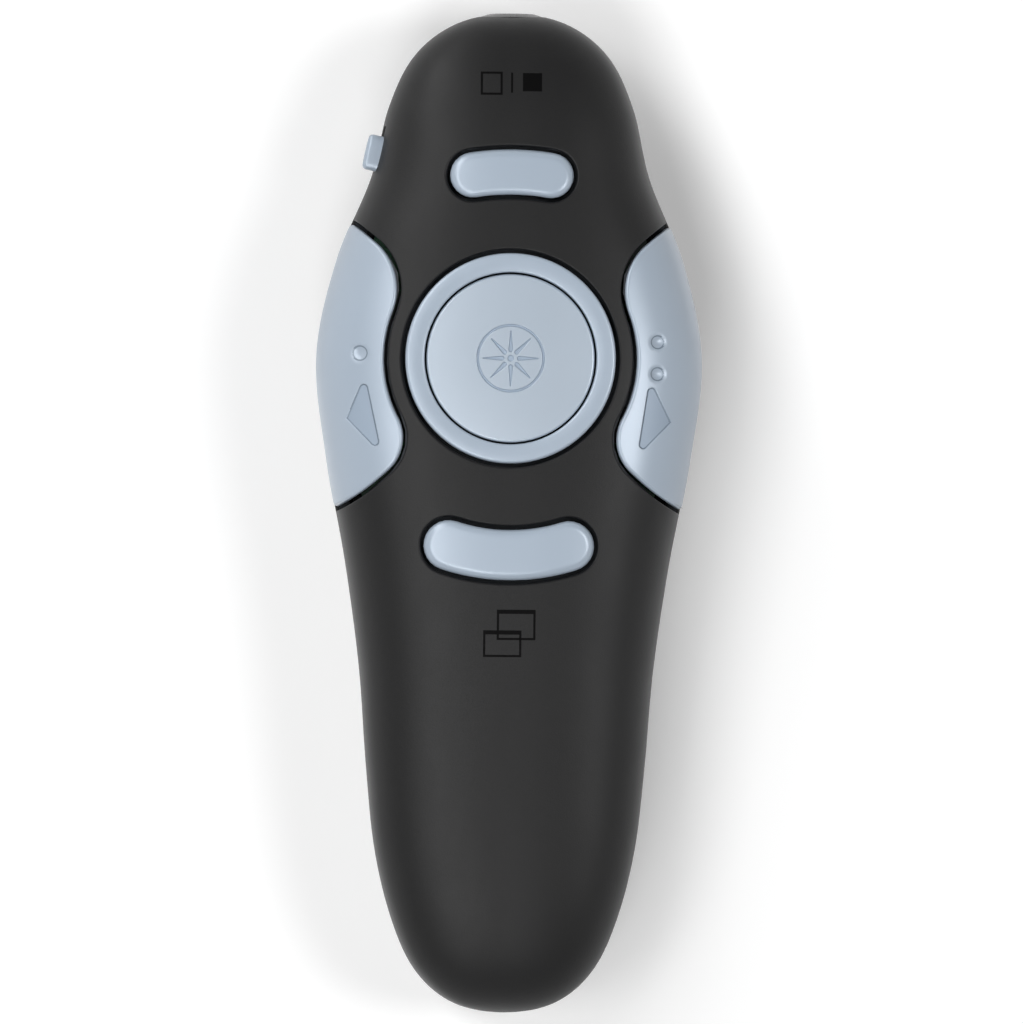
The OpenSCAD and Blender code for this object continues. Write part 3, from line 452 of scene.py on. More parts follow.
@dataclass(frozen=True)
class Form:
    """The housing's outer surface, over the section's polar angle t and the angle u from the nose.

    t runs in radians from the right flank (0) over the crown to the left flank (pi), and
    under the belly for negative values. A flat place is (t, u) scaled to about millimetres.
    The three shapes are shares of half_w and of the two heights at even steps from nose to tail.
    """

    half_len: float = -CAD_BOX[0].y / MM
    half_w: float = 24.2
    crown_h: float = 15.0
    parting_z: float = 12.0
    land_cut: float = 0.6
    crown_power: float = 2.8
    belly_power: float = 2.6
    end_angle: float = 3.0
    end_turn: float = 12.0
    land_soft: float = 0.1
    flat_t: float = 20.0

    plan_shape = np.array([0, 0.286, 0.505, 0.638, 0.726, 0.901, 1, 0.943, 0.843, 0.768, 0.728,
                           0.680, 0.591, 0.465, 0.270, 0])
    crown_shape = np.array([0, 0.40, 0.62, 0.77, 0.875, 0.95, 0.993, 1, 0.967, 0.90, 0.827, 0.753,
                            0.66, 0.52, 0.31, 0])
    belly_shape = np.array([0, 0.43, 0.74, 0.91, 0.985, 1, 1, 1, 1, 1, 1, 0.99, 0.94, 0.77, 0.45, 0])

    @property
    def flat_u(self) -> float:
        """Flat length of one degree of u."""
        return math.radians(self.half_len)

    def half_width(self, u: Array) -> Array:
        """Returns the half width at angle u."""
        return self.half_w * spline_share(self.plan_shape, u)

    def height(self, u: Array, upper: Array) -> Array:
        """Gives the section's height on one side of the parting plane.

        Args:
            u: Angles from the nose.
            upper: Where the crown's is asked for, rather than the belly's.

        Returns:
            The rise of the crown or the sink of the belly.
        """
        rise = self.crown_h * spline_share(self.crown_shape, u)
        sink = (self.parting_z + self.land_cut) * spline_share(self.belly_shape, u)
        return np.where(upper, rise, sink)

    def power(self, upper: Array) -> Array:
        """Returns the section's exponent."""
        return np.where(upper, self.crown_power, self.belly_power)

    def station_y(self, u: Array) -> Array:
        """Places the section at angle u along the body.

        Args:
            u: Angles from the nose, in degrees.

        Returns:
            The places along Y.
        """
        y = self.half_len * np.cos(np.radians(u)) / math.cos(math.radians(self.end_angle))
        spare = self.half_len / math.cos(math.radians(self.end_angle)) - self.half_len
        near = np.clip(np.minimum(u, 180 - u) / self.end_turn, 0, 1)
        return y - np.sign(y) * spare * (1 - near * near * (3 - 2 * near))

    def station_u(self, y: Array) -> Array:
        """Returns the angle from the nose at places along Y, away from the two ends."""
        part = np.asarray(y) * math.cos(math.radians(self.end_angle)) / self.half_len
        return np.degrees(np.arccos(np.clip(part, -1, 1)))

    def surface(self, t: Array, u: Array) -> Array:
        """Gives points of the outer surface.

        Args:
            t: Polar angles.
            u: Angles from the nose.

        Returns:
            One point a row.
        """
        c, s = np.cos(t), np.sin(t)
        upper = s >= 0
        n = self.power(upper)
        k = (np.abs(c) ** n + np.abs(s) ** n) ** (-1 / n)
        z = self.parting_z + self.height(u, upper) * s * k
        land = (z + np.sqrt(z * z + self.land_soft ** 2)) / 2
        return np.stack([self.half_width(u) * c * k, self.station_y(u), np.where(upper, z, land)], axis=-1)

    def normal(self, t: Array, u: Array) -> Array:
        """Gives outward normals of the outer surface.

        Args:
            t: Polar angles.
            u: Angles from the nose.

        Returns:
            One normal a row.
        """
        step_t, step_u = 2e-4, 0.01
        along = self.surface(t, u + step_u) - self.surface(t, u - step_u)
        round_t = self.surface(t + step_t, u) - self.surface(t - step_t, u)
        return unit(np.cross(round_t, along))

    def flat(self, t: Array, u: Array) -> Array:
        """Returns flat places of (t, u)."""
        return np.stack([np.asarray(t) * self.flat_t, np.asarray(u) * self.flat_u], axis=-1)

    def unflat(self, flat: Array) -> tuple[Array, Array]:
        """Returns (t, u) of flat places."""
        return flat[:, 0] / self.flat_t, flat[:, 1] / self.flat_u

    def crown_z(self, x: Array, y: Array) -> Array:
        """Gives the height of the crown over places in plan.

        Args:
            x: Places across.
            y: Places along.

        Returns:
            The levels.
        """
        u = self.station_u(y)
        part = np.clip(np.abs(x) / self.half_width(u), 0, 1) ** self.crown_power
        return self.parting_z + self.height(u, True) * (1 - part) ** (1 / self.crown_power)

    def from_plan(self, plan: Array, half: Half) -> Array:
        """Takes places in plan to flat places.

        Args:
            plan: One (x, y) a row.
            half: The half that they lie on.

        Returns:
            The flat places.
        """
        u = self.station_u(plan[:, 1])
        n = self.power(half is Half.CROWN)
        x = np.clip(plan[:, 0] / self.half_width(u), -1, 1)
        z = (1 - np.abs(x) ** n) ** (1 / n)
        return self.flat(np.arctan2(half.value * z, x), u)

    def at_level(self, u: Array, z: float) -> Array:
        """Finds a level on the right flank.

        Args:
            u: Angles from the nose.
            z: The level.

        Returns:
            The polar angles at which the flank passes through it.
        """
        upper = z >= self.parting_z
        n = self.power(upper)
        part = np.clip(np.abs(z - self.parting_z) / self.height(u, upper), 0, 1)
        return np.arctan2(np.where(upper, part, -part), (1 - part ** n) ** (1 / n))

    def tail_level(self, z: float, start: float, count: int = 60) -> Array:
        """Follows a level round the tail.

        Args:
            z: The level.
            start: The angle u on the right flank from which it is followed.
            count: How many places are given.

        Returns:
            Flat places from the right flank round to the left one.
        """
        first = float(self.at_level(np.array(start), z))
        t = np.linspace(first, math.copysign(math.pi, first) - first, count)
        low = np.full(count, start - 1e-6)
        inward = -1 if first < 0 else 1

        def past_level(u: Array) -> Array:
            """Tells where the surface has passed the level."""
            return inward * (self.surface(t, u)[:, 2] - z) < 0
        return self.flat(t, bisect(low, np.full(count, 179.99), past_level))

    def outside_bore(self, t: Array, u: Array, radius: float) -> Array:
        """Tells where the surface lies outside a bore along Y in the nose."""
        at = self.surface(t, u)
        return np.hypot(at[:, 0], at[:, 2] - self.parting_z) > radius

    def bore_ring(self, radius: float, half: Half, count: int = 50) -> Array:
        """Follows the edge of a bore along Y in the nose.

        Args:
            radius: The bore's radius.
            half: The half of the section.
            count: How many places are given.

        Returns:
            Flat places from the left flank to the right one.
        """
        t = np.linspace(math.pi, 0, count) * half.value

        def outside(u: Array) -> Array:
            """Tells where the surface lies outside the bore."""
            return self.outside_bore(t, u, radius)
        return self.flat(t, bisect(np.full(count, 0.2), np.full(count, 40.0), outside))


FORM = Form()


# --- Outlines ---------------------------------------------------------------------


def signed_area(loop: Array) -> float:
    """Returns the area of a closed loop, positive when it runs anticlockwise."""
    x, y = loop[:, 0], loop[:, 1]
    return float(np.sum(x * np.roll(y, -1) - np.roll(x, -1) * y) / 2)


def turned(loop: Array, anticlockwise: bool) -> Array:
    """Returns a loop that runs the asked way."""
    return loop if (signed_area(loop) > 0) == anticlockwise else loop[::-1]


def inside(at: Array, loop: Array) -> Array:
    """Tells which places lie inside a closed loop.

    Args:
        at: The places.
        loop: The loop.

    Returns:
        One truth value a place.
    """
    x, y = at[:, 0:1], at[:, 1:2]
    a, b = loop, np.roll(loop, -1, axis=0)
    rising = (a[:, 1] > y) != (b[:, 1] > y)
    drop = np.where(np.abs(b[:, 1] - a[:, 1]) < 1e-12, 1e-12, b[:, 1] - a[:, 1])
    crossing = a[:, 0] + (y - a[:, 1]) / drop * (b[:, 0] - a[:, 0])
    return np.count_nonzero(rising & (x < crossing), axis=1) % 2 == 1


def signed_distance(at: Array, loop: Array) -> Array:
    """Measures places from a closed loop.

    Args:
        at: The places.
        loop: The loop.

    Returns:
        The distances, negative inside.
    """
    start, way = loop, np.roll(loop, -1, axis=0) - loop
    off = at[:, None] - start[None]
    share = np.clip(np.sum(off * way, axis=2) / np.sum(way * way, axis=1), 0, 1)
    away = np.linalg.norm(off - share[..., None] * way, axis=2).min(axis=1)
    return np.where(inside(at, loop), -away, away)


def resampled(loop: Array, lengths: Array, step: float) -> Array:
    """Spaces the places of a closed loop evenly.

    Args:
        loop: The loop.
        lengths: The length of each of its sides, the last back to its start.
        step: The wanted spacing.

    Returns:
        The new loop.
    """
    travel = np.concatenate(([0.0], np.cumsum(lengths)))
    count = max(8, round(travel[-1] / step))
    at = np.linspace(0, travel[-1], count, endpoint=False)
    closed = np.vstack([loop, loop[:1]])
    return np.stack([np.interp(at, travel, closed[:, k]) for k in (0, 1)], axis=1)


def round_of(circles: Sequence[Circle], count: int = 10) -> Array:
    """Draws the convex outline round one or more circles.

    Args:
        circles: Each circle's (x, y, radius), anticlockwise.
        count: Places on each corner's arc.

    Returns:
        The closed outline.
    """
    if len(circles) == 1:
        x, y, r = circles[0]
        a = np.linspace(0, 2 * math.pi, 3 * count, endpoint=False)
        return np.stack([x + r * np.cos(a), y + r * np.sin(a)], axis=1)
    ways = []
    for one, two in zip(circles, (*circles[1:], circles[0])):
        way = math.atan2(two[1] - one[1], two[0] - one[0])
        gap = math.hypot(two[1] - one[1], two[0] - one[0])
        ways.append(way - math.acos((one[2] - two[2]) / gap))
    points = []
    for k, (x, y, r) in enumerate(circles):
        a0 = ways[k - 1]
        sweep = (ways[k] - a0) % (2 * math.pi)
        for a in np.linspace(a0, a0 + sweep, count):
            points.append((x + r * math.cos(a), y + r * math.sin(a)))
    return np.array(points)


def rounded_box(x: tuple[float, float], y: tuple[float, float], r: float) -> Array:
    """Returns the outline of a rectangle from its ends across and along, with corners of radius r."""
    corners = [(x[0] + r, y[0] + r), (x[1] - r, y[0] + r), (x[1] - r, y[1] - r), (x[0] + r, y[1] - r)]
    return round_of([(*c, r) for c in corners], 6)


def shortened(part: Array, cut: float) -> Array:
    """Cuts the two ends off an open stretch.

    Args:
        part: The stretch.
        cut: How much of it goes at each end.

    Returns:
        What is left.
    """
    side = np.linalg.norm(np.diff(part, axis=0), axis=1)
    travel = np.concatenate(([0.0], np.cumsum(side)))
    at = np.concatenate(([cut], travel[(travel > cut) & (travel < travel[-1] - cut)], [travel[-1] - cut]))
    return np.stack([np.interp(at, travel, part[:, k]) for k in (0, 1)], axis=1)


def corners_rounded(parts: Sequence[Array], cut: float) -> Array:
    """Joins open stretches into a closed loop, each meeting turned into a short curve.

    Args:
        parts: The stretches, each ending where the next one starts.
        cut: How far each curve reaches along the two stretches.

    Returns:
        The closed loop.
    """
    pieces = [shortened(part, cut) for part in parts]
    f = np.linspace(0, 1, 9)[1:-1, None]
    loop = []
    for k, piece in enumerate(pieces):
        start, corner, end = piece[-1], parts[k][-1], pieces[(k + 1) % len(pieces)][0]
        loop += [piece, (1 - f) ** 2 * start + 2 * f * (1 - f) * corner + f ** 2 * end]
    return np.vstack(loop)


def on_form(loop: Array, step: float = 0.45, share: float = 0.12) -> Array:
    """Spaces a loop of flat places evenly over the body's surface.

    Args:
        loop: The closed loop.
        step: The wanted spacing.
        share: How much the flat length counts beside the true one.

    Returns:
        The new loop.
    """
    at = FORM.surface(*FORM.unflat(loop))
    true = np.linalg.norm(np.roll(at, -1, axis=0) - at, axis=1)
    flat = np.linalg.norm(np.roll(loop, -1, axis=0) - loop, axis=1)
    return resampled(loop, np.hypot(true, share * flat), step)


# --- Meshes -----------------------------------------------------------------------


class Shape:
    """Points, normals and faces that become one mesh."""

    def __init__(self) -> None:
        """Starts an empty shape."""
        self.points: list[Array] = []
        self.normals: list[Array] = []
        self.faces: list[tuple[int, ...]] = []
        self.paint: list[int] = []
        self.count = 0

    def add(self, points: Array, normals: Array | None = None) -> Array:
        """Adds points.

        Args:
            points: The points in millimetres.
            normals: Their normals, or none to have them worked out from the faces.

        Returns:
            Their indices.
        """
        self.points.append(points)
        self.normals.append(np.zeros_like(points) if normals is None else normals)
        self.count += len(points)
        return np.arange(self.count - len(points), self.count)

    def cover(self, faces: Sequence[Sequence[int]], paint: int = 0) -> None:
        """Adds faces, each a row of indices, with the index of their material."""
        self.faces += [tuple(int(v) for v in face) for face in faces]
        self.paint += [paint] * len(faces)

    def join(self, rings: Sequence[Array], closed: bool = True, paint: int = 0) -> None:
        """Joins rings of equal length with four-sided faces.

        Args:
            rings: The indices of each ring.
            closed: Whether each ring closes on itself.
            paint: The index of the faces' material.
        """
        for a, b in zip(rings, rings[1:]):
            count = len(a) if closed else len(a) - 1
            self.cover([(a[i], b[i], b[(i + 1) % len(a)], a[(i + 1) % len(a)]) for i in range(count)], paint)

    def cap(self, ring: Array, forwards: bool = True, paint: int = 0) -> None:
        """Closes a ring with one face, which runs the ring's way or against it."""
        self.cover([ring if forwards else ring[::-1]], paint)

    def ink_and_shade(self, marks: Sequence[Recess], wall: int, floor: int, upto: float = 0.97,
            least: float = 0.03) -> None:
        """Paints shade into hollows: darker materials on the faces between the shape's first points stand in
        for the shade on their walls and floors.

        Args:
            marks: The hollows.
            wall: The index of the material of the painted shade on the walls.
            floor: The index of the material of the painted shade on the floors.
            upto: The share of a hollow's depth down to which it counts as wall.
            least: The share from which it counts as hollow.
        """
        plan = self.points[0][:, :2]
        faces = [k for k, face in enumerate(self.faces) if max(face) < len(plan)]
        middle = np.array([plan[list(self.faces[k])].mean(axis=0) for k in faces])
        for mark in marks:
            for k, part in zip(faces, mark.depth_at(middle) / mark.depth):
                if part > least:
                    self.paint[k] = wall if part < upto else floor

    def absorb(self, other: Shape, mirrored: bool = False) -> None:
        """Adds another shape.

        Args:
            other: The shape.
            mirrored: Whether it is taken over to the other side of the body.
        """
        flip = np.array([-1.0 if mirrored else 1.0, 1.0, 1.0])
        start = self.count
        for points, normals in zip(other.points, other.normals):
            self.add(points * flip, normals * flip)
        for face, paint in zip(other.faces, other.paint):
            moved = [v + start for v in face]
            self.cover([moved[::-1] if mirrored else moved], paint)

    def build(self, name: str, *finishes: bpy.types.Material) -> bpy.types.Object:
        """Makes the mesh object.

        Args:
            name: The object's name.
            finishes: Its materials.

        Returns:
            The object.
        """
        mesh = bpy.data.meshes.new(name)
        mesh.from_pydata((np.vstack(self.points) * MM).tolist(), [], self.faces)
        mesh.polygons.foreach_set("material_index", self.paint)
        mesh.polygons.foreach_set("use_smooth", [True] * len(self.faces))
        for finish in finishes:
            mesh.materials.append(finish)
        mesh.set_sharp_from_angle(angle=math.radians(SHARP_ANGLE))
        normals = np.vstack(self.normals)
        if np.any(normals):
            mesh.normals_split_custom_set_from_vertices(normals.tolist())
        piece = bpy.data.objects.new(name, mesh)
        bpy.context.scene.collection.objects.link(piece)
        return piece


def fill(outline: Array, holes: Sequence[Array], guides: Sequence[Array], grid: Array,
         clearance: float) -> tuple[Array, Array]:
    """Triangulates the inside of an outline, apart from its holes.

    Args:
        outline: The closed outline.
        holes: Closed holes in it.
        guides: Further rows of places that get points.
        grid: Places of the regular grid, used where they are clear of everything else.
        clearance: How clear that is.

    Returns:
        The points, first the outline's and the holes', and the triangles' indices.
    """
    loops = [outline, *holes]
    fixed = np.vstack([*loops, *guides])
    tree = KDTree(len(fixed))
    for k, p in enumerate(fixed):
        tree.insert((p[0], p[1], 0.0), k)
    tree.balance()
    wanted = inside(grid, outline)
    for hole in holes:
        wanted &= ~inside(grid, hole)
    clear = [p for p in grid[wanted] if tree.find((p[0], p[1], 0.0))[2] > clearance]
    points = np.vstack([fixed, np.array(clear).reshape(-1, 2)])
    edges, start = [], 0
    for loop in loops:
        edges += [(start + k, start + (k + 1) % len(loop)) for k in range(len(loop))]
        start += len(loop)
    _, _, faces, sources, *_ = delaunay_2d_cdt([Vector(p) for p in points], edges, [], 0, MERGE)
    triangles = np.array([[sources[v][0] for v in face] for face in faces])
    a, b, c = (points[triangles[:, k]] for k in range(3))
    middle = (a + b + c) / 3
    kept = inside(middle, outline)
    for hole in holes:
        kept &= ~inside(middle, hole)
    area = (b[:, 0] - a[:, 0]) * (c[:, 1] - a[:, 1]) - (b[:, 1] - a[:, 1]) * (c[:, 0] - a[:, 0])
    triangles[area < 0] = triangles[area < 0][:, ::-1]
    return points, triangles[kept & (np.abs(area) > SLIVER)]


@dataclass(frozen=True)
class Recess:
    """A shallow hollow in a surface, bounded by a loop in plan."""

    loop: Array
    depth: float
    reach: float = 0.12
    island: Array | None = None

    def depth_at(self, plan: Array) -> Array:
        """Gives the hollow's depth.

        Args:
            plan: Places in plan.

        Returns:
            How deep it is at each.
        """
        off = signed_distance(plan, self.loop)
        if self.island is not None:
            off = np.maximum(off, -signed_distance(plan, self.island))
        full = np.clip(-off / self.reach, 0, 1)
        return self.depth * (1 - (1 - full) ** 2)

    def guides(self) -> list[Array]:
        """Follows the hollow's edges.

        Returns:
            Rows of places in plan.
        """
        rows = []
        for loop, way in ((self.loop, -1.0), (self.island, 1.0)):
            if loop is None:
                continue
            outward = unit(np.roll(loop, -1, axis=0) - np.roll(loop, 1, axis=0)) @ np.array([[0, -1], [1, 0]])
            outward *= math.copysign(1.0, signed_area(loop))
            for share in (-0.5, 0.0, 0.2, 0.5, 1.0):
                rows.append(loop + outward * way * share * self.reach)
        return rows


def skin(position: Callable[[Array], Array], outline: Array, holes: Sequence[Array], guides: Sequence[Array],
         grid: Array, clearance: float, edge: float, depth: float) -> Shape:
    """Makes a closed sheet over part of a surface, with rounded edges.

    Args:
        position: Takes flat places to points of the surface.
        outline: The sheet's closed outline, where its edge starts to round off.
        holes: Its holes, likewise.
        guides: Further rows of flat places that get points.
        grid: The regular grid of flat places.
        clearance: How clear the grid stays of the rest.
        edge: Radius of the rounded edges.
        depth: Thickness of the sheet.

    Returns:
        The sheet.
    """
    loops = [turned(outline, True), *(turned(hole, False) for hole in holes)]
    flat, triangles = fill(loops[0], loops[1:], guides, grid, clearance)
    top = position(flat)
    step = 0.01
    slope_p = position(flat + [step, 0]) - position(flat - [step, 0])
    slope_q = position(flat + [0, step]) - position(flat - [0, step])
    normal = unit(np.cross(slope_p, slope_q))
    shape = Shape()
    outer = shape.add(top, normal)
    inner = shape.add(top - depth * normal, -normal)
    shape.cover(outer[triangles])
    shape.cover(inner[triangles[:, ::-1]])
    start = 0
    for loop in loops:
        ids = np.arange(start, start + len(loop))
        start += len(loop)
        at, up = top[ids], normal[ids]
        side = unit(np.cross(np.roll(at, -1, axis=0) - np.roll(at, 1, axis=0), up))
        rings = [outer[ids]]
        for a in np.radians(np.linspace(0, 90, EDGE_STEPS + 1)[1:]):
            rings.append(shape.add(at + side * edge * math.sin(a) - up * edge * (1 - math.cos(a)),
                                   up * math.cos(a) + side * math.sin(a)))
        rings.append(shape.add(at + side * edge - up * depth, side))
        rings.append(inner[ids])
        shape.join(rings)
    return shape


def core(node: str, moved: Callable[[Array], Array], paint: int = 0) -> Shape:
    """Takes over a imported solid, with points moved to lie under a new skin.

    Args:
        node: The node's name.
        moved: Moves the points, in millimetres.
        paint: The index of its faces' material.

    Returns:
        The shape.
    """
    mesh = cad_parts[node].data
    flat = np.empty(len(mesh.vertices) * 3)
    mesh.vertices.foreach_get("co", flat)
    shape = Shape()
    shape.add(moved(flat.reshape(-1, 3) / MM))
    shape.cover([tuple(face.vertices) for face in mesh.polygons], paint)
    return shape


def drawn_in(to: float, low: float = -0.4, high: float = 0.1) -> Callable[[Array], Array]:
    """Gives a move that draws the points of the outer surface inwards.

    Args:
        to: The level that they come to, measured outwards from the surface.
        low: The lowest level of the points that move.
        high: The highest one.

    Returns:
        The move.
    """
    def move(at: Array) -> Array:
        """Draws points near the surface inwards.

        Args:
            at: The points.

        Returns:
            The moved points.
        """
        u = np.clip(FORM.station_u(at[:, 1]), 0.5, 179.5)
        z = at[:, 2] - FORM.parting_z
        t = np.arctan2(z / FORM.height(u, z >= 0), at[:, 0] / FORM.half_width(u))
        normal = FORM.normal(t, u)
        level = np.sum((at - FORM.surface(t, u)) * normal, axis=1)
        moves = (level > low) & (level < high)
        return np.where(moves[:, None], at + normal * (to - level)[:, None], at)
    return move


def form_position(out: float, recesses: Sequence[Recess]) -> Callable[[Array], Array]:
    """Gives the surface of a skin that lies over the form.

    Args:
        out: How far it stands out of the form.
        recesses: Hollows in it.

    Returns:
        A function from flat places to points.
    """
    def position(flat: Array) -> Array:
        """Takes flat places to the skin.

        Args:
            flat: The places.

        Returns:
            The points.
        """
        t, u = FORM.unflat(flat)
        at = FORM.surface(t, u)
        level = np.full(len(flat), out)
        for recess in recesses:
            level = level - recess.depth_at(at[:, :2])
        return at + FORM.normal(t, u) * level[:, None]
    return position


def flat_grid(t: Array, u: Array) -> Array:
    """Returns the flat places of every pair of a polar angle and an angle from the nose, in degrees."""
    return FORM.flat(*(m.ravel() for m in np.meshgrid(np.radians(t), u)))


def form_grid(half: Half, step: tuple[float, float] = (2.2, 0.95)) -> Array:
    """Returns the regular grid of flat places over one half."""
    return flat_grid(np.arange(1.0, 180.0, step[0]) * half.value, np.arange(0.5, 180.0, step[1]))


def revolved(profile: Array, count: int, axis: Matrix) -> Shape:
    """Turns a profile about an axis.

    Args:
        profile: (radius, height) rows, anticlockwise with the radius to the right.
        count: Steps of the turn.
        axis: Places the Z axis, in millimetres.

    Returns:
        The shape.
    """
    shape = Shape()
    turn, place = np.array(axis.to_3x3()), np.array(axis.translation)
    rings = []
    for r, h in profile:
        a = np.linspace(0, 2 * math.pi, count, endpoint=False)
        ring = np.stack([r * np.cos(a), r * np.sin(a), np.full(count, h)], axis=1)
        rings.append(shape.add((ring if r > 1e-6 else ring[:1]) @ turn.T + place))
    for a, b in zip(rings, rings[1:] + rings[:1]):
        if len(a) == 1 and len(b) == 1:
            continue
        for i in range(count):
            j = (i + 1) % count
            face = [a[i % len(a)], a[j % len(a)], b[j % len(b)], b[i % len(b)]]
            shape.cover([tuple(dict.fromkeys(int(v) for v in face))])
    return shape


def dress(piece: bpy.types.Object, body: Body, slot: Slot, *nodes: str) -> None:
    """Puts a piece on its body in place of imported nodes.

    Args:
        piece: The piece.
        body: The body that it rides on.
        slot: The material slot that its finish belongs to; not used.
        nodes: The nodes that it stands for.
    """
    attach(piece, body.value)
    if nodes:
        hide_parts(*nodes)
    log.info("%s: %d faces on %s", piece.name, len(piece.data.polygons), body.value)


# --- Housing ----------------------------------------------------------------------


@dataclass(frozen=True)
class BarSizes:
    """A bar key in plan: its distance from the dial, half width, half angle, direction and bend."""

    radius: float
    half: float
    angle: float
    toward: float
    beyond: float = 0.0


@dataclass(frozen=True)
class Openings:
    """Sizes of everything that lies in an opening of the housing, in plan about the dial."""

    dial_y: float = float(sum(packed("laser_key"))[1]) / 2
    key_r: float = 10.6
    dial_gap: float = 0.2
    ring_w: float = 2.4
    key_gap: float = 0.5
    bridge_w: float = 1.8
    front_bar: BarSizes = BarSizes(radius=23.4, half=2.84, angle=12.1, toward=90.0, beyond=7.0)
    rear_bar: BarSizes = BarSizes(radius=24.7, half=3.15, angle=17.8, toward=270.0)
    side_angles: tuple[float, float] = (42.8, 40.25)
    side_bends: tuple[float, float] = (-2.5, -0.8)
    side_reach: float = 9.0
    side_corners: tuple[float, float] = (5.5, 7.8)
    side_low: float = 13.6
    side_hole_low: float = 12.85
    side_drop: float = 1.3
    bar_side: int = 34
    bar_end: int = 12

    @property
    def ring_r(self) -> float:
        """Outer radius of the trim ring."""
        return self.key_r + self.dial_gap + self.ring_w

    @property
    def side_r(self) -> float:
        """Radius of the side keys' inner edges."""
        return self.ring_r + 2 * self.key_gap + self.bridge_w

    def circle(self, radius: float, step: float = 0.45) -> Array:
        """Returns a circle about the dial."""
        return round_of([(0.0, self.dial_y, radius)], round(2 * math.pi * radius / step / 3))

    def bar(self, sizes: BarSizes, grow: float) -> Array:
        """Draws the outline of a bar key that is bent about a point beyond the dial's centre.

        Args:
            sizes: The bar's sizes.
            grow: How much wider than the key the outline is.

        Returns:
            The closed outline: bar_side places, bar_end round the end, and both again.
        """
        wide = sizes.half + grow
        r, angle = sizes.radius + sizes.beyond, sizes.angle * sizes.radius / (sizes.radius + sizes.beyond)
        spread = np.linspace(-angle, angle, self.bar_side)
        turns = np.linspace(0, 180, self.bar_end + 2)[1:-1]
        rows = [(r + wide, 0.0, a, a) for a in spread]
        rows += [(r, wide, angle, angle + a) for a in turns]
        rows += [(r - wide, 0.0, a, a) for a in spread[::-1]]
        rows += [(r, wide, -angle, -angle + 180 + a) for a in turns]
        points = []
        for radius, off, a, b in rows:
            way, out = math.radians(sizes.toward + a), math.radians(sizes.toward + b)
            start = self.dial_y - sizes.beyond * math.sin(math.radians(sizes.toward))
            points.append((radius * math.cos(way) + off * math.cos(out),
                           start + radius * math.sin(way) + off * math.sin(out)))
        return np.array(points)

    def side_start(self, end: int) -> float:
        """Returns how far from the dial's centre a side key's end starts."""
        return math.sqrt(self.side_r * (self.side_r + 2 * self.side_corners[end]))

    def side_end(self, end: int, r: Array) -> Array:
        """Returns the directions of a side key's end at distances r, in degrees from straight across."""
        past = np.maximum(r - self.side_start(end), 0)
        return self.side_angles[end] + self.side_bends[end] * (past / self.side_reach) ** 2

    def side_edge(self, end: int, grow: float, low: float) -> tuple[Array, Array]:
        """Draws one end of the right side key in plan.

        Args:
            end: 0 for the rear end, 1 for the front one.
            grow: How much larger than the key the outline is.
            low: Level of its lower edge on the flank.

        Returns:
            Places round the corner by the dial, and places from there out along the end.
        """
        sign, limit, corner = (-1, 1)[end], self.side_angles[end], self.side_corners[end]
        centre = np.array([0.0, self.dial_y])
        lean = limit - math.degrees(math.asin(corner / (self.side_r + corner)))
        a = math.radians(sign * lean)
        middle = centre + (self.side_r + corner) * np.array([math.cos(a), math.sin(a)])
        turn = np.radians(180 + sign * np.linspace(lean, limit - 90, 40))
        arc = middle + (corner + grow) * np.stack([np.cos(turn), np.sin(turn)], axis=1)

        def ray(r: Array) -> Array:
            """Places points along the key's end.

            Args:
                r: Distances from the dial's centre.

            Returns:
                The places in plan.
            """
            way = np.radians(sign * self.side_end(end, r))
            aside = np.stack([-np.sin(way), np.cos(way)], axis=1) * sign * grow
            return centre + r[:, None] * np.stack([np.cos(way), np.sin(way)], axis=1) + aside

        def past_flank(r: Array) -> Array:
            """Tells which of them lie past the start of the drop down the flank.

            Args:
                r: Distances from the dial's centre.

            Returns:
                One truth value a place.
            """
            at = ray(r)
            u = FORM.station_u(at[:, 1])
            return at[:, 0] > FORM.surface(FORM.at_level(u, low + self.side_drop), u)[:, 0]
        start = self.side_start(end)
        far = bisect(np.array([start]), np.array([2 * start]), past_flank)[0]
        return arc, ray(start + (far - start) * (1 - np.linspace(1, 0, 120) ** 4))

    def side(self, grow: float, low: float, cut: float) -> Array:
        """Draws the outline of the right side key on the flat.

        Args:
            grow: How much larger than the key the outline is.
            low: Level of its lower edge on the flank.
            cut: Reach of the two small corners on the flank.

        Returns:
            The closed loop of flat places.
        """
        (rear_arc, rear_end), (front_arc, front_end) = (self.side_edge(end, grow, low) for end in (0, 1))
        turns = [math.asin(c / (self.side_r + c)) for c in self.side_corners]
        limits = [math.radians(limit) for limit in self.side_angles]
        middle = np.linspace(turns[0] - limits[0], limits[1] - turns[1], 40)[1:-1]
        waist = (self.side_r - grow) * np.stack([np.cos(middle), np.sin(middle)], axis=1) + [0, self.dial_y]
        plan = np.vstack([rear_end[::-1], rear_arc[::-1][1:], waist, front_arc[1:-1], front_end])
        edge = FORM.from_plan(plan, Half.CROWN)
        drops = []
        for at in (edge[:1], edge[-1:]):
            t, u = FORM.unflat(at)
            drops.append(FORM.flat(np.linspace(t[0], float(FORM.at_level(u, low)[0]), 12), np.full(12, u[0])))
        u = np.linspace(FORM.unflat(edge[-1:])[1][0], FORM.unflat(edge[:1])[1][0], 80)
        around = np.vstack([drops[0][::-1], edge[1:], drops[1][1:]])
        return corners_rounded([around, FORM.flat(FORM.at_level(u, low), u)], cut)


OPENINGS = Openings()


@dataclass(frozen=True)
class DoorSizes:
    """The battery door: half its width, its front end, where it wraps round the tail, and how high."""

    half_x: float = 14.2
    front: float = float(packed("battery_door")[1][1])
    wrap_y: float = -45.0
    level: float = float(packed("battery_door")[1][2])
    cut: float = 0.5


DOOR = DoorSizes()


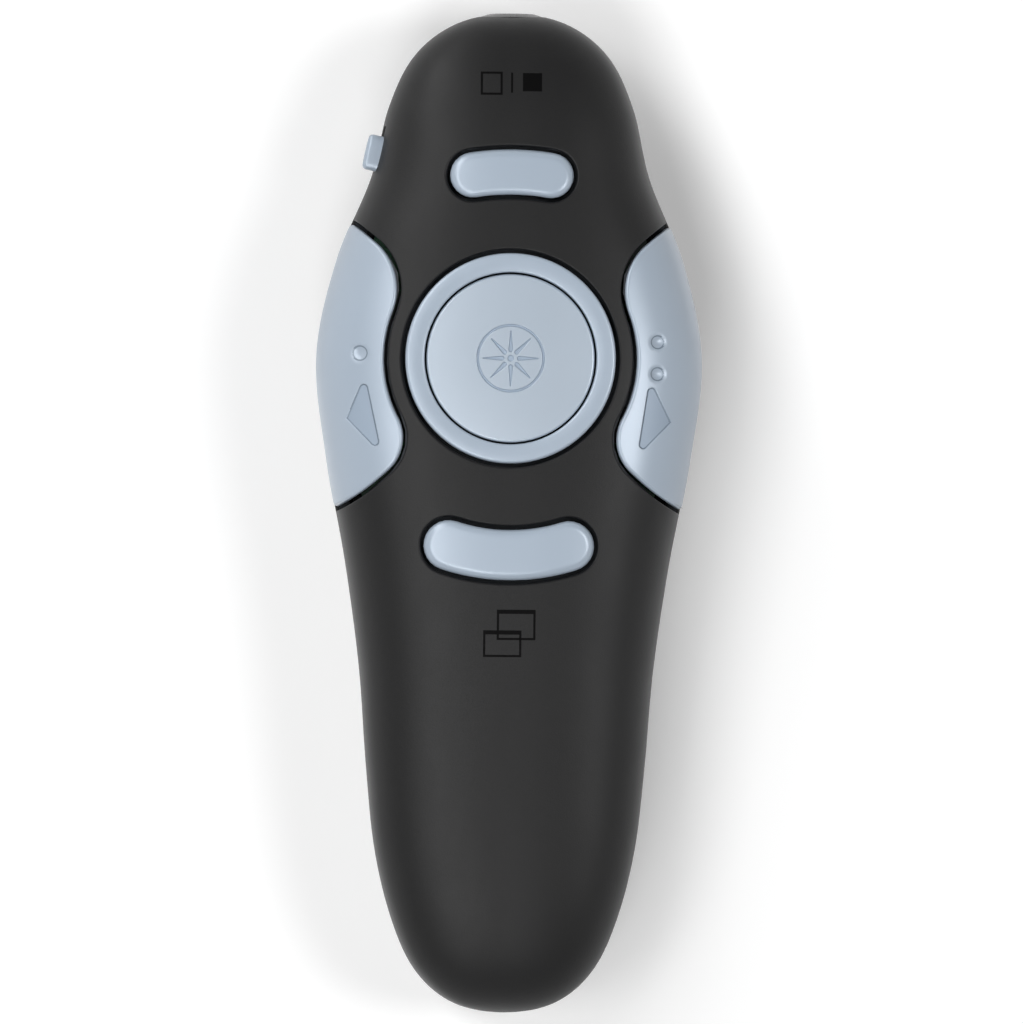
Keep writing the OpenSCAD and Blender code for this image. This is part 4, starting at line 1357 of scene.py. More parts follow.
@dataclass
class Housing:
    """The two moulded halves of the housing."""

    edge: float = 0.3
    belly_edge: float = 0.2
    seam_edge: float = 0.16
    seam_gap: float = 0.04
    seam_cut: float = 0.3
    sheet: float = 0.6
    drawn: float = -0.45
    bore_r: float = 4.35
    clearance: float = 0.42
    door_gap: float = 0.2
    wrap_gap: float = 0.3
    receiver_gap: float = 0.15
    notch_half: float = 4.0
    notch_y: float = 33.5
    pocket_cut: float = 0.35
    screw_at: tuple[float, float] = (8.0, 51.8)
    screw_r: float = 2.0
    hole_cut: float = 0.35
    slot_cut: float = 0.6
    lock_slot_y: tuple[float, float] = (44.25, 48.75)
    lock_slot_z: tuple[float, float] = (14.3, 16.1)
    tail_u: float = 165.0

    def seam(self, half: Half) -> Array:
        """Draws the outline of one half: its parting edge and its share of the nose bore.

        Args:
            half: The half.

        Returns:
            The closed loop of flat places.
        """
        level = FORM.parting_z + half.value * (self.seam_edge + self.seam_gap)
        radius = self.bore_r + self.seam_edge
        bore = FORM.bore_ring(radius, half)
        mirror = math.pi * half.value

        def outside(u: Array) -> Array:
            """Tells where the seam lies outside the bore."""
            return FORM.outside_bore(FORM.at_level(u, level), u, radius)
        start = bisect(np.array([2.0]), np.array([40.0]), outside)[0]
        u = np.linspace(start, self.tail_u, 320)
        right = FORM.flat(FORM.at_level(u, level), u)
        tail = FORM.tail_level(level, self.tail_u)
        left = FORM.flat(mirror - FORM.at_level(u, level), u)[::-1]
        t_right = FORM.unflat(right[:1])[0][0]
        t = FORM.unflat(bore)[0]
        between = ((t - t_right) * half.value > 0) & ((mirror - t_right - t) * half.value > 0)
        nose = bore[between]
        if abs(nose[0][0] - left[-1][0]) > abs(nose[-1][0] - left[-1][0]):
            nose = nose[::-1]
        parts = [np.vstack([right[:-1], tail, left[1:]]), np.vstack([left[-1:], nose, right[:1]])]
        return corners_rounded(parts, self.seam_cut)

    def lock_slot(self) -> Array:
        """Draws the lock slider's slot in the left flank.

        Returns:
            The closed loop of flat places.
        """
        grow = self.edge * 0.5
        box = rounded_box((self.lock_slot_y[0] - grow, self.lock_slot_y[1] + grow),
                          (self.lock_slot_z[0] - grow, self.lock_slot_z[1] + grow), self.slot_cut)
        u = FORM.station_u(box[:, 0])
        t = np.array([float(FORM.at_level(np.array(a), z)) for a, z in zip(u, box[:, 1])])
        return FORM.flat(math.pi - t, u)

    def top(self) -> None:
        """Makes the upper half, with its key openings."""
        plan = [OPENINGS.circle(OPENINGS.ring_r + OPENINGS.key_gap + self.edge),
                OPENINGS.bar(OPENINGS.front_bar, OPENINGS.key_gap + self.edge),
                OPENINGS.bar(OPENINGS.rear_bar, OPENINGS.key_gap + self.edge)]
        holes = [on_form(FORM.from_plan(hole, Half.CROWN)) for hole in plan]
        right = OPENINGS.side(OPENINGS.key_gap + self.edge, OPENINGS.side_hole_low - self.edge, self.hole_cut)
        left = right * [-1, 1] + [math.pi * FORM.flat_t, 0]
        holes += [on_form(right), on_form(left), on_form(self.lock_slot(), 0.3)]
        shape = skin(form_position(0.0, []), on_form(self.seam(Half.CROWN)), holes, [],
                     form_grid(Half.CROWN), self.clearance, self.edge, self.sheet)
        # The drawn-in core is painted near-black: painted shade in the gaps round the keys.
        shape.absorb(core("top_shell", drawn_in(self.drawn), 1))
        dress(shape.build("upper_housing", SOFT_TOUCH.material(), GAP_SHADE_BLACK.material()), Body.HOUSING,
              Slot.SOFT_BLACK, "top_shell")

    def door_loop(self, grow: float, rise: float) -> Array:
        """Draws the outline of the battery door on the flat.

        Args:
            grow: How much larger than the door the outline is.
            rise: How much higher its upper edge is.

        Returns:
            The closed loop of flat places.
        """
        half_x, front, wrap = (size + grow for size in (DOOR.half_x, DOOR.front, DOOR.wrap_y))
        level = DOOR.level + rise
        across = np.linspace((-half_x, front), (half_x, front), 60)
        side = np.linspace((half_x, front), (half_x, wrap), 90)
        u = float(FORM.station_u(np.array(wrap)))
        inner = FORM.from_plan(side[-1:], Half.BELLY)[0]
        t_low = float(FORM.at_level(np.array(u), level))
        flank = FORM.flat(np.linspace(inner[0] / FORM.flat_t, t_low, 40), np.full(40, u))
        tail = FORM.tail_level(level, u, 160)
        front_edge = FORM.from_plan(across, Half.BELLY)
        right = FORM.from_plan(side, Half.BELLY)
        mirror = np.array([-math.pi * FORM.flat_t, 0])
        left_flank = (flank * [-1, 1] + mirror)[::-1]
        left = (right * [-1, 1] + mirror)[::-1]
        return corners_rounded([front_edge, right, flank, tail, left_flank, left], DOOR.cut)

    def pocket_loop(self, grow: float) -> Array:
        """Draws the receiver's pocket with its finger notch.

        Args:
            grow: How much larger than the pocket the outline is.

        Returns:
            The closed outline in plan.
        """
        gap = self.receiver_gap + grow
        cap, plug = packed("receiver_cap"), packed("receiver_plug_shell")
        right = [(plug[1][0] + gap, plug[0][1] - gap), (plug[1][0] + gap, cap[0][1] - gap),
                 (cap[1][0] + gap, cap[0][1] - gap), (cap[1][0] + gap, cap[1][1] + gap),
                 (self.notch_half + grow, cap[1][1] + gap), (self.notch_half + grow, self.notch_y + grow)]
        corners = np.array(right + [(-x, y) for x, y in reversed(right)])
        parts = [np.linspace(a, b, 30) for a, b in zip(corners, np.roll(corners, -1, axis=0))]
        return corners_rounded(parts, self.pocket_cut)

    def bottom(self) -> None:
        """Makes the lower half, with its openings."""
        g = self.belly_edge
        screws = [round_of([(s * self.screw_at[0], self.screw_at[1], self.screw_r + g)], 12) for s in (1, -1)]
        holes = [on_form(self.door_loop(self.door_gap + g, self.wrap_gap + g))]
        holes += [on_form(FORM.from_plan(hole, Half.BELLY)) for hole in (self.pocket_loop(g), *screws)]
        shape = skin(form_position(0.0, []), on_form(self.seam(Half.BELLY)), holes, [],
                     form_grid(Half.BELLY), self.clearance, self.belly_edge, self.sheet)
        shape.absorb(core("bottom_shell", drawn_in(self.drawn)))
        dress(shape.build("lower_housing", SOFT_TOUCH.material()), Body.HOUSING, Slot.SOFT_BLACK,
              "bottom_shell")

    def build(self) -> None:
        """Makes both halves."""
        self.top()
        self.bottom()


@dataclass
class BatteryDoor:
    """The sliding door over the battery bay, with its finger grips."""

    edge: float = 0.2
    sheet: float = 0.6
    drawn: float = -0.45
    clearance: float = 0.4
    grip_count: int = 5
    grip_w: float = 14.0
    grip_t: float = 1.0
    grip_pitch: float = 2.2
    grip_depth: float = 0.35
    grip_reach: float = 0.42
    grip_y: float = -35.5

    def grips(self) -> list[Recess]:
        """Draws the finger grips.

        Returns:
            The hollows.
        """
        half = self.grip_t / 2
        end = self.grip_w / 2 - half
        rows = [self.grip_y - self.grip_pitch * k for k in range(self.grip_count)]
        return [Recess(round_of([(-end, y, half), (end, y, half)], 9), self.grip_depth, self.grip_reach)
                for y in rows]

    def build(self) -> None:
        """Makes the door."""
        loop = Housing().door_loop(-self.edge, -self.edge)
        grips = self.grips()
        guides = [FORM.from_plan(row, Half.BELLY) for grip in grips for row in spaced(grip.guides(), 0.3)]
        shape = skin(form_position(0.0, grips), on_form(loop), [], guides, form_grid(Half.BELLY),
                     self.clearance, self.edge, self.sheet)
        shape.absorb(core("battery_door", drawn_in(self.drawn)))
        dress(shape.build("sliding_battery_door", SOFT_TOUCH.material()), Body.DOOR, Slot.SOFT_BLACK,
              "battery_door")


def spaced(rows: Sequence[Array], step: float) -> list[Array]:
    """Returns closed rows of places, each spaced evenly by about the step."""
    return [resampled(row, np.linalg.norm(np.roll(row, -1, axis=0) - row, axis=1), step) for row in rows]


# --- Keys -------------------------------------------------------------------------


@dataclass
class SideKeys:
    """The two curved keys that wrap down the flanks."""

    edge: float = 0.4
    out: float = 0.15
    sheet: float = 0.6
    drawn: float = -0.35
    moved: tuple[float, float] = (-0.46, 0.2)
    corner_cut: float = 1.1
    end_in: float = 0.3
    dot_depth: float = 0.32
    dot_shade_rim: float = 0.36
    mark_depth: float = 0.2
    mark_wall: float = 0.2
    mark_step: float = 0.16
    clearance: float = 0.22
    next_dots: tuple[Circle, ...] = ((18.45, 21.6, 0.9), (18.45, 17.6, 0.9))
    next_arrow: tuple[Circle, ...] = ((20.15, 11.55, 0.1), (17.75, 15.35, 0.55), (16.75, 8.7, 0.55))
    previous_dots: tuple[Circle, ...] = ((18.85, 19.9, 1.0),)
    previous_arrow: tuple[Circle, ...] = ((20.4, 11.75, 0.1), (18.35, 15.5, 0.55), (16.9, 8.8, 0.55))

    def marks(self, body: Body) -> list[Recess]:
        """Returns a key's dots and arrow, both drawn on the right side of the body.

        Args:
            body: The key's body.

        Returns:
            The hollows.
        """
        dots, arrow = self.next_dots, self.next_arrow
        if body is Body.PREVIOUS_BUTTON:
            dots, arrow = self.previous_dots, self.previous_arrow
        hollows = [Recess(turned(round_of([dot], 9), True), self.dot_depth, dot[2]) for dot in dots]
        return [*hollows, Recess(turned(round_of(arrow, 9), True), self.mark_depth, self.mark_wall)]

    def under_skin(self, at: Array) -> Array:
        """Draws a packed key's points in under its skin, also at its two ends.

        Args:
            at: The points.

        Returns:
            The moved points.
        """
        moved = drawn_in(self.drawn, *self.moved)(at)
        x, y = moved[:, 0], moved[:, 1] - OPENINGS.dial_y
        r, side = np.hypot(x, y), np.sign(x)
        angle = np.degrees(np.arctan2(y, np.abs(x)))
        rear, front = (OPENINGS.side_end(end, r) - np.degrees(self.end_in / r) for end in (0, 1))
        angle = np.radians(np.clip(angle, -rear, front))
        ends = np.stack([side * r * np.cos(angle), OPENINGS.dial_y + r * np.sin(angle), moved[:, 2]], axis=1)
        return np.where((r > OPENINGS.side_r + self.end_in)[:, None], ends, moved)

    def key(self, name: str, body: Body, node: str) -> None:
        """Makes one key.

        Args:
            name: The piece's name.
            body: The body that it rides on.
            node: The node that it stands for.
        """
        mirrored = body is Body.PREVIOUS_BUTTON
        marks = self.marks(body)
        guides = [FORM.from_plan(row, Half.CROWN) for mark in marks
                  for row in spaced(mark.guides(), self.mark_step)]
        grid = flat_grid(np.arange(0.5, 75.0, 1.3), np.arange(40.0, 115.0, 0.5))
        loop = on_form(OPENINGS.side(-self.edge, OPENINGS.side_low + self.edge, self.corner_cut), 0.35)
        shape = skin(form_position(self.out, marks), loop, [], guides, grid, self.clearance, self.edge,
                     self.sheet)
        # Painted shade: a darker band in the dots' rims and on the arrow's walls, and painted shade on the
        # arrow's floor.
        shape.ink_and_shade(marks[:-1], 2, 0, self.dot_shade_rim)
        shape.ink_and_shade(marks[-1:], 2, 3)
        whole = Shape()
        whole.absorb(shape, mirrored)
        # The drawn-in core is painted near-black: painted shade in the gap round the key.
        whole.absorb(core(node, self.under_skin, 1))
        finishes = [finish.material() for finish in (SATIN_BLUE, GAP_SHADE_BLACK, WALL_SHADE, HOLLOW_SHADE)]
        dress(whole.build(name, *finishes), body, Slot.KEY_BLUE, node)

    def build(self) -> None:
        """Makes both keys."""
        self.key("next_slide_key", Body.NEXT_BUTTON, "next_key")
        self.key("previous_slide_key", Body.PREVIOUS_BUTTON, "previous_key")


@dataclass
class BarKeys:
    """The two pillow-topped bar keys."""

    proud: float = 0.5
    bevel_w: float = 1.05
    bevel_r: float = 1.13
    bevel_steps: int = 14
    plateau_w: float = 0.4
    ridge: float = 0.25
    skirt: float = 0.8
    core_drop: float = 1.2
    core_in: float = 0.4

    def depth(self, inset: float) -> float:
        """Returns how far the key's top lies below its plateau at an inset from its outline."""
        left = max(0.0, self.bevel_w - inset)
        return self.bevel_r - math.sqrt(self.bevel_r ** 2 - left ** 2)

    def key(self, name: str, sizes: BarSizes, body: Body, node: str) -> None:
        """Makes one key.

        Args:
            name: The piece's name.
            sizes: Its sizes in plan.
            body: The body that it rides on.
            node: The node that it stands for.
        """
        steep = math.asin(self.bevel_w / self.bevel_r)
        insets = [self.bevel_w - self.bevel_r * math.sin(a) for a in np.linspace(steep, 0, self.bevel_steps)]
        insets += [*np.arange(self.bevel_w + self.plateau_w / 2, sizes.half - self.ridge, self.plateau_w)]
        shape = Shape()
        rings = []
        for inset in insets:
            plan = OPENINGS.bar(sizes, -inset)
            top = FORM.crown_z(plan[:, 0], plan[:, 1]) + self.proud - self.depth(inset)
            rings.append(shape.add(np.column_stack([plan, top])))
        rim = shape.points[0]
        skirt = shape.add(rim - [0.0, 0.0, self.skirt])
        shape.join([skirt, *rings][::-1])
        side, bow, last = OPENINGS.bar_side, OPENINGS.bar_end, rings[-1]
        near, far = last[:side], last[side + bow:2 * side + bow][::-1]
        shape.cover([(near[i + 1], far[i + 1], far[i], near[i]) for i in range(side - 1)])
        end = [near[-1], *last[side:side + bow], far[-1]]
        start = [far[0], *last[2 * side + bow:], near[0]]
        shape.cover([end, start])
        shape.cap(skirt, False)
        centre = np.array([0.0, OPENINGS.dial_y + sizes.radius * math.sin(math.radians(sizes.toward))])
        level = packed(node)[1][2] - self.skirt - self.core_drop

        def lowered(at: Array) -> Array:
            """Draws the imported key's points in under its new top.

            Args:
                at: The points.

            Returns:
                The moved points.
            """
            high = at[:, 2] > level
            pulled = at.copy()
            pulled[high, 2] = level
            off = at[high, :2] - centre
            share = 1 - self.core_in / np.maximum(np.linalg.norm(off, axis=1), 1.0)
            pulled[high, :2] = centre + off * share[:, None]
            return pulled
        # The drawn-in core is painted near-black: painted shade in the gap round the key.
        shape.absorb(core(node, lowered, 1))
        dress(shape.build(name, SATIN_BLUE.material(), GAP_SHADE_BLACK.material()), body, Slot.KEY_BLUE, node)

    def build(self) -> None:
        """Makes both keys."""
        self.key("blank_screen_bar", OPENINGS.front_bar, Body.BLANK_SCREEN_BUTTON, "blank_screen_key")
        self.key("window_bar", OPENINGS.rear_bar, Body.WINDOW_BUTTON, "window_key")


@dataclass
class Dial:
    """The round laser key with its starburst, and the trim ring round it."""

    top: float = 26.55
    key_edge: float = 0.35
    key_dome: float = 0.6
    wall: float = 1.6
    ring_edges: tuple[float, float] = (0.3, 0.45)
    ring_lift: float = 0.3
    ring_low: float = 23.1
    ring_crown: float = 0.06
    core_rise: float = 0.3
    core_in: float = 0.1
    ring_core_drop: float = 0.9
    ring_core_in: float = 0.2
    burst_r: float = 4.3
    burst_line: float = 0.34
    dot_r: float = 0.42
    ray_start: float = 1.05
    ray_end: float = 3.45
    ray_half: tuple[float, float] = (0.3, 0.08)
    rays: int = 8
    mark_depth: float = 0.2
    mark_wall: float = 0.15
    mark_step: float = 0.13

    def marks(self) -> list[Recess]:
        """Draws the starburst: a thin circle, a dot and tapered rays between them.

        Returns:
            The hollows.
        """
        y = OPENINGS.dial_y
        ring = round_of([(0.0, y, self.burst_r)], 30)
        island = round_of([(0.0, y, self.burst_r - self.burst_line)], 30)
        hollows = [Recess(ring, self.mark_depth, self.mark_wall, island),
                   Recess(round_of([(0.0, y, self.dot_r)], 7), self.mark_depth, self.mark_wall)]
        for k in range(self.rays):
            a = 2 * math.pi * k / self.rays
            way = np.array([math.cos(a), math.sin(a)])
            inner, outer = way * self.ray_start, way * self.ray_end
            loop = round_of([(inner[0], y + inner[1], self.ray_half[0]),
                             (outer[0], y + outer[1], self.ray_half[1])], 6)
            hollows.append(Recess(loop, self.mark_depth, self.mark_wall))
        return hollows

    def key(self) -> None:
        """Makes the laser key."""
        flat_r = OPENINGS.key_r - self.key_edge
        marks = self.marks()

        def position(flat: Array) -> Array:
            """Places points on the key's domed top.

            Args:
                flat: Their places in plan.

            Returns:
                The points.
            """
            r = np.hypot(flat[:, 0], flat[:, 1] - OPENINGS.dial_y)
            z = self.top + self.key_dome * (1 - (r / flat_r) ** 2)
            for mark in marks:
                z = z - mark.depth_at(flat)
            return np.column_stack([flat, z])
        guides = [row for mark in marks for row in spaced(mark.guides(), self.mark_step)]
        side = np.arange(-OPENINGS.key_r, OPENINGS.key_r, 0.5)
        grid = np.stack([m.ravel() for m in np.meshgrid(side, side + OPENINGS.dial_y)], axis=1)
        shape = skin(position, OPENINGS.circle(flat_r, 0.3), [], guides, grid, 0.16, self.key_edge, self.wall)
        # Painted shade on the walls and floors of the starburst's grooves.
        shape.ink_and_shade(marks, 2, 2)
        level = self.top - self.wall + self.core_rise

        def lowered(at: Array) -> Array:
            """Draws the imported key's points in under its new top.

            Args:
                at: The points.

            Returns:
                The moved points.
            """
            pulled = at.copy()
            pulled[:, 2] = np.minimum(pulled[:, 2], level)
            off = pulled[:, :2] - [0.0, OPENINGS.dial_y]
            r = np.linalg.norm(off, axis=1)
            high = (at[:, 2] > level - 0.5) & (r > OPENINGS.key_r - 1.0)
            pulled[high, :2] -= self.core_in * off[high] / r[high, None]
            return pulled
        # The drawn-in core is painted near-black: painted shade in the gap round the key.
        shape.absorb(core("laser_key", lowered, 1))
        finishes = [finish.material() for finish in (SATIN_DISC, GAP_SHADE_BLACK, HOLLOW_SHADE)]
        dress(shape.build("round_laser_key", *finishes), Body.LASER_BUTTON, Slot.KEY_BLUE, "laser_key")

    def ring(self) -> None:
        """Makes the trim ring."""
        inner, outer = OPENINGS.key_r + OPENINGS.dial_gap, OPENINGS.ring_r
        a, b = self.ring_edges
        high = self.top + self.ring_lift
        turns = np.radians(np.linspace(0, 90, 7))
        crown = np.linspace(0, 1, 9)[1:-1]
        width = outer - b - inner - a
        profile = [(inner, self.ring_low), (outer, self.ring_low)]
        profile += [(outer - b * (1 - math.cos(t)), high - b * (1 - math.sin(t))) for t in turns]
        profile += [(outer - b - width * s, high + 4 * self.ring_crown * s * (1 - s)) for s in crown]
        profile += [(inner + a * (1 - math.cos(t)), high - a * (1 - math.sin(t))) for t in turns[::-1]]
        axis = Matrix.Translation((0.0, OPENINGS.dial_y, 0.0))
        shape = revolved(np.array(profile), 220, axis)

        def lowered(at: Array) -> Array:
            """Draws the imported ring's points in under the new one.

            Args:
                at: The points.

            Returns:
                The moved points.
            """
            pulled, inset = at.copy(), self.ring_core_in
            high_up = at[:, 2] > self.ring_low + inset
            off = at[high_up, :2] - [0.0, OPENINGS.dial_y]
            r = np.linalg.norm(off, axis=1)
            middle = (inner + outer) / 2
            toward = np.where(r > outer + inset, r, r + np.sign(middle - r) * inset)
            pulled[high_up, :2] = off * (toward / r)[:, None] + [0.0, OPENINGS.dial_y]
            pulled[high_up, 2] = np.minimum(at[high_up, 2], self.top - self.ring_core_drop)
            return pulled
        # The drawn-in core is painted near-black: painted shade in the gaps beside the ring.
        shape.absorb(core("trim_ring", lowered, 1))
        dress(shape.build("dial_trim_ring", SATIN_BLUE.material(), GAP_SHADE_BLACK.material()),
              Body.HOUSING, Slot.KEY_BLUE, "trim_ring")

    def build(self) -> None:
        """Makes the key and the ring."""
        self.key()
        self.ring()


# --- Small outer pieces -----------------------------------------------------------


@dataclass
class LockSlider:
    """The slide knob on the left flank."""

    y: float = 45.1
    z: float = 15.2
    out: float = 1.7
    length: float = 4.5
    height: float = 3.0
    foot: float = 0.3
    square: float = 5.0
    round_r: float = 0.55
    crown: float = 0.06
    core_scale: tuple[float, float, float] = (0.6, 0.8, 0.8)
    core_from: float = 0.05

    def frame_at_flank(self) -> tuple[Array, Array]:
        """Finds how the knob stands in the flank.

        Returns:
            Its place and its axes: out of the flank, along it, and up.
        """
        u = FORM.station_u(np.array([self.y - 1, self.y + 1]))
        wide = FORM.half_width(u)
        lean = math.atan((wide[0] - wide[1]) / 2)
        u_mid = FORM.station_u(np.array(self.y))
        t = float(FORM.at_level(u_mid, self.z))
        x = float(FORM.surface(np.array(t), u_mid)[0])
        c, s = math.cos(lean), math.sin(lean)
        return np.array([-x, self.y, self.z]), np.array([[-c, s, 0], [s, c, 0], [0, 0, 1]])

    def build(self) -> None:
        """Makes the knob."""
        place, axes = self.frame_at_flank()
        a = np.linspace(0, 2 * math.pi, 72, endpoint=False)
        power = 2 / self.square
        around = np.stack([np.sign(np.cos(a)) * np.abs(np.cos(a)) ** power,
                           np.sign(np.sin(a)) * np.abs(np.sin(a)) ** power], axis=1)
        shape = Shape()
        half = np.array([self.length, self.height]) / 2
        rows = [(around * half, -self.foot)]
        for phi in np.radians(np.linspace(0, 90, 14)):
            rows.append((around * (half - self.round_r * (1 - math.cos(phi))),
                         self.out - self.round_r * (1 - math.sin(phi))))
        for share in (0.8, 0.5, 0.2):
            rows.append((around * (half - self.round_r) * share, self.out + self.crown * (1 - share ** 2)))
        made = [shape.add(np.column_stack([np.full(len(row), level), row]) @ axes + place)
                for row, level in rows]
        shape.join(made)
        shape.cap(made[-1], False)
        shape.cap(made[0])

        def lowered(at: Array) -> Array:
            """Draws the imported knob's points in under the new one.

            Args:
                at: The points.

            Returns:
                The moved points.
            """
            local = (at - place) @ axes.T
            local[local[:, 0] > self.core_from] *= self.core_scale
            return local @ axes + place
        shape.absorb(core("lock_slider", lowered))
        dress(shape.build("lock_knob", SATIN_BLUE.material()), Body.LOCK, Slot.KEY_BLUE, "lock_slider")


@dataclass
class PrintedMarks:
    """The dark marks printed on the housing ahead of and behind the keys."""

    line: float = 0.27
    heavy: float = 0.52
    lift: float = 0.014
    ink_and_shade: float = 0.03
    step: float = 0.4
    square: Box = (-4.0, -1.25, 52.52, 55.45)
    bar: Box = (-0.19, 0.05, 52.8, 55.35)
    block: Box = (1.3, 3.7, 53.0, 55.3)
    near_window: Box = (-3.12, 1.68, -18.1, -14.75)
    far_window: Box = (-1.42, 3.43, -15.95, -12.15)

    def frame_bars(self, box: Box, top: float) -> list[Box]:
        """Splits a hollow rectangle into bars.

        Args:
            box: Its ends across and along.
            top: Thickness of its upper bar.

        Returns:
            The ends of each bar.
        """
        x0, x1, y0, y1 = box
        low, high = y0 + self.line, y1 - top
        return [(x0, x1, high, y1), (x0, x1, y0, low), (x0, x0 + self.line, low, high),
                (x1 - self.line, x1, low, high)]

    def plate(self, shape: Shape, box: Box) -> None:
        """Lays one bar of ink on the crown.

        Args:
            shape: The shape that takes it.
            box: The bar's ends across and along.
        """
        steps = [max(2, math.ceil(length / self.step) + 1) for length in (box[1] - box[0], box[3] - box[2])]
        x, y = np.meshgrid(np.linspace(box[0], box[1], steps[0]), np.linspace(box[2], box[3], steps[1]))
        plan = np.stack([x.ravel(), y.ravel()], axis=1)
        t, u = FORM.unflat(FORM.from_plan(plan, Half.CROWN))
        at, up = FORM.surface(t, u), FORM.normal(t, u)
        top = shape.add(at + up * self.lift, up).reshape(steps[1], steps[0])
        low = shape.add(at + up * (self.lift - self.ink_and_shade)).reshape(steps[1], steps[0])
        for j in range(steps[1] - 1):
            for i in range(steps[0] - 1):
                shape.cover([(top[j, i], top[j, i + 1], top[j + 1, i + 1], top[j + 1, i]),
                             (low[j, i], low[j + 1, i], low[j + 1, i + 1], low[j, i + 1])])
        rim = [np.concatenate([g[0, :-1], g[:-1, -1], g[-1, :0:-1], g[:0:-1, 0]]) for g in (top, low)]
        shape.join(rim)

    def build(self) -> None:
        """Makes the marks."""
        shape = Shape()
        bars = [*self.frame_bars(self.square, self.line), self.bar, self.block]
        bars += self.frame_bars(self.near_window, self.heavy) + self.frame_bars(self.far_window, self.heavy)
        for bar in bars:
            self.plate(shape, bar)
        dress(shape.build("printed_marks", PRINT_BLACK.material()), Body.HOUSING, Slot.HARD_BLACK)


@dataclass
class LaserNose:
    """The bezel round the laser's window."""

    back: float = float(packed("laser_bezel")[0][1])
    flange_t: float = 0.9
    flange_r: float = float(packed("laser_bezel")[1][0])
    front: float = 63.35
    sag: float = 0.9
    bezel_r: float = 4.3
    bore: float = 3.1
    lip: float = 2.6
    window_out: float = float(packed("laser_window")[1][1])
    bevel: float = 0.2

    def face(self, r: Array) -> Array:
        """Returns how far the domed face reaches at a radius."""
        return self.front - self.sag * (r / self.bezel_r) ** 2

    def build(self) -> None:
        """Makes the bezel, whose face carries on the curve of the nose."""
        turn = np.radians(np.linspace(0, 90, 6))
        reach = np.linspace(self.bezel_r - self.bevel, self.lip + self.bevel, 9)[1:-1]
        r_out = self.bezel_r - self.bevel * (1 - np.cos(turn))
        r_in = self.lip + self.bevel * (1 - np.sin(turn))
        outer = zip(r_out, self.face(r_out) - self.bevel * (1 - np.sin(turn)))
        inner = zip(r_in, self.face(r_in) - self.bevel * (1 - np.cos(turn)))
        step = self.back + self.flange_t
        profile = [(self.bore, self.back), (self.flange_r, self.back), (self.flange_r, step),
                   (self.bezel_r, step), *outer, *zip(reach, self.face(reach)), *inner,
                   (self.lip, self.window_out), (self.bore, self.window_out)]
        axis = Matrix.Translation((0.0, 0.0, FORM.parting_z)) @ Matrix.Rotation(-math.pi / 2, 4, "X")
        shape = revolved(np.array(profile), 96, axis)
        dress(shape.build("nose_bezel", HARD_BLACK.material()), Body.HOUSING, Slot.HARD_BLACK, "laser_bezel")


CELL_LOW, CELL_HIGH = packed("cell_right")


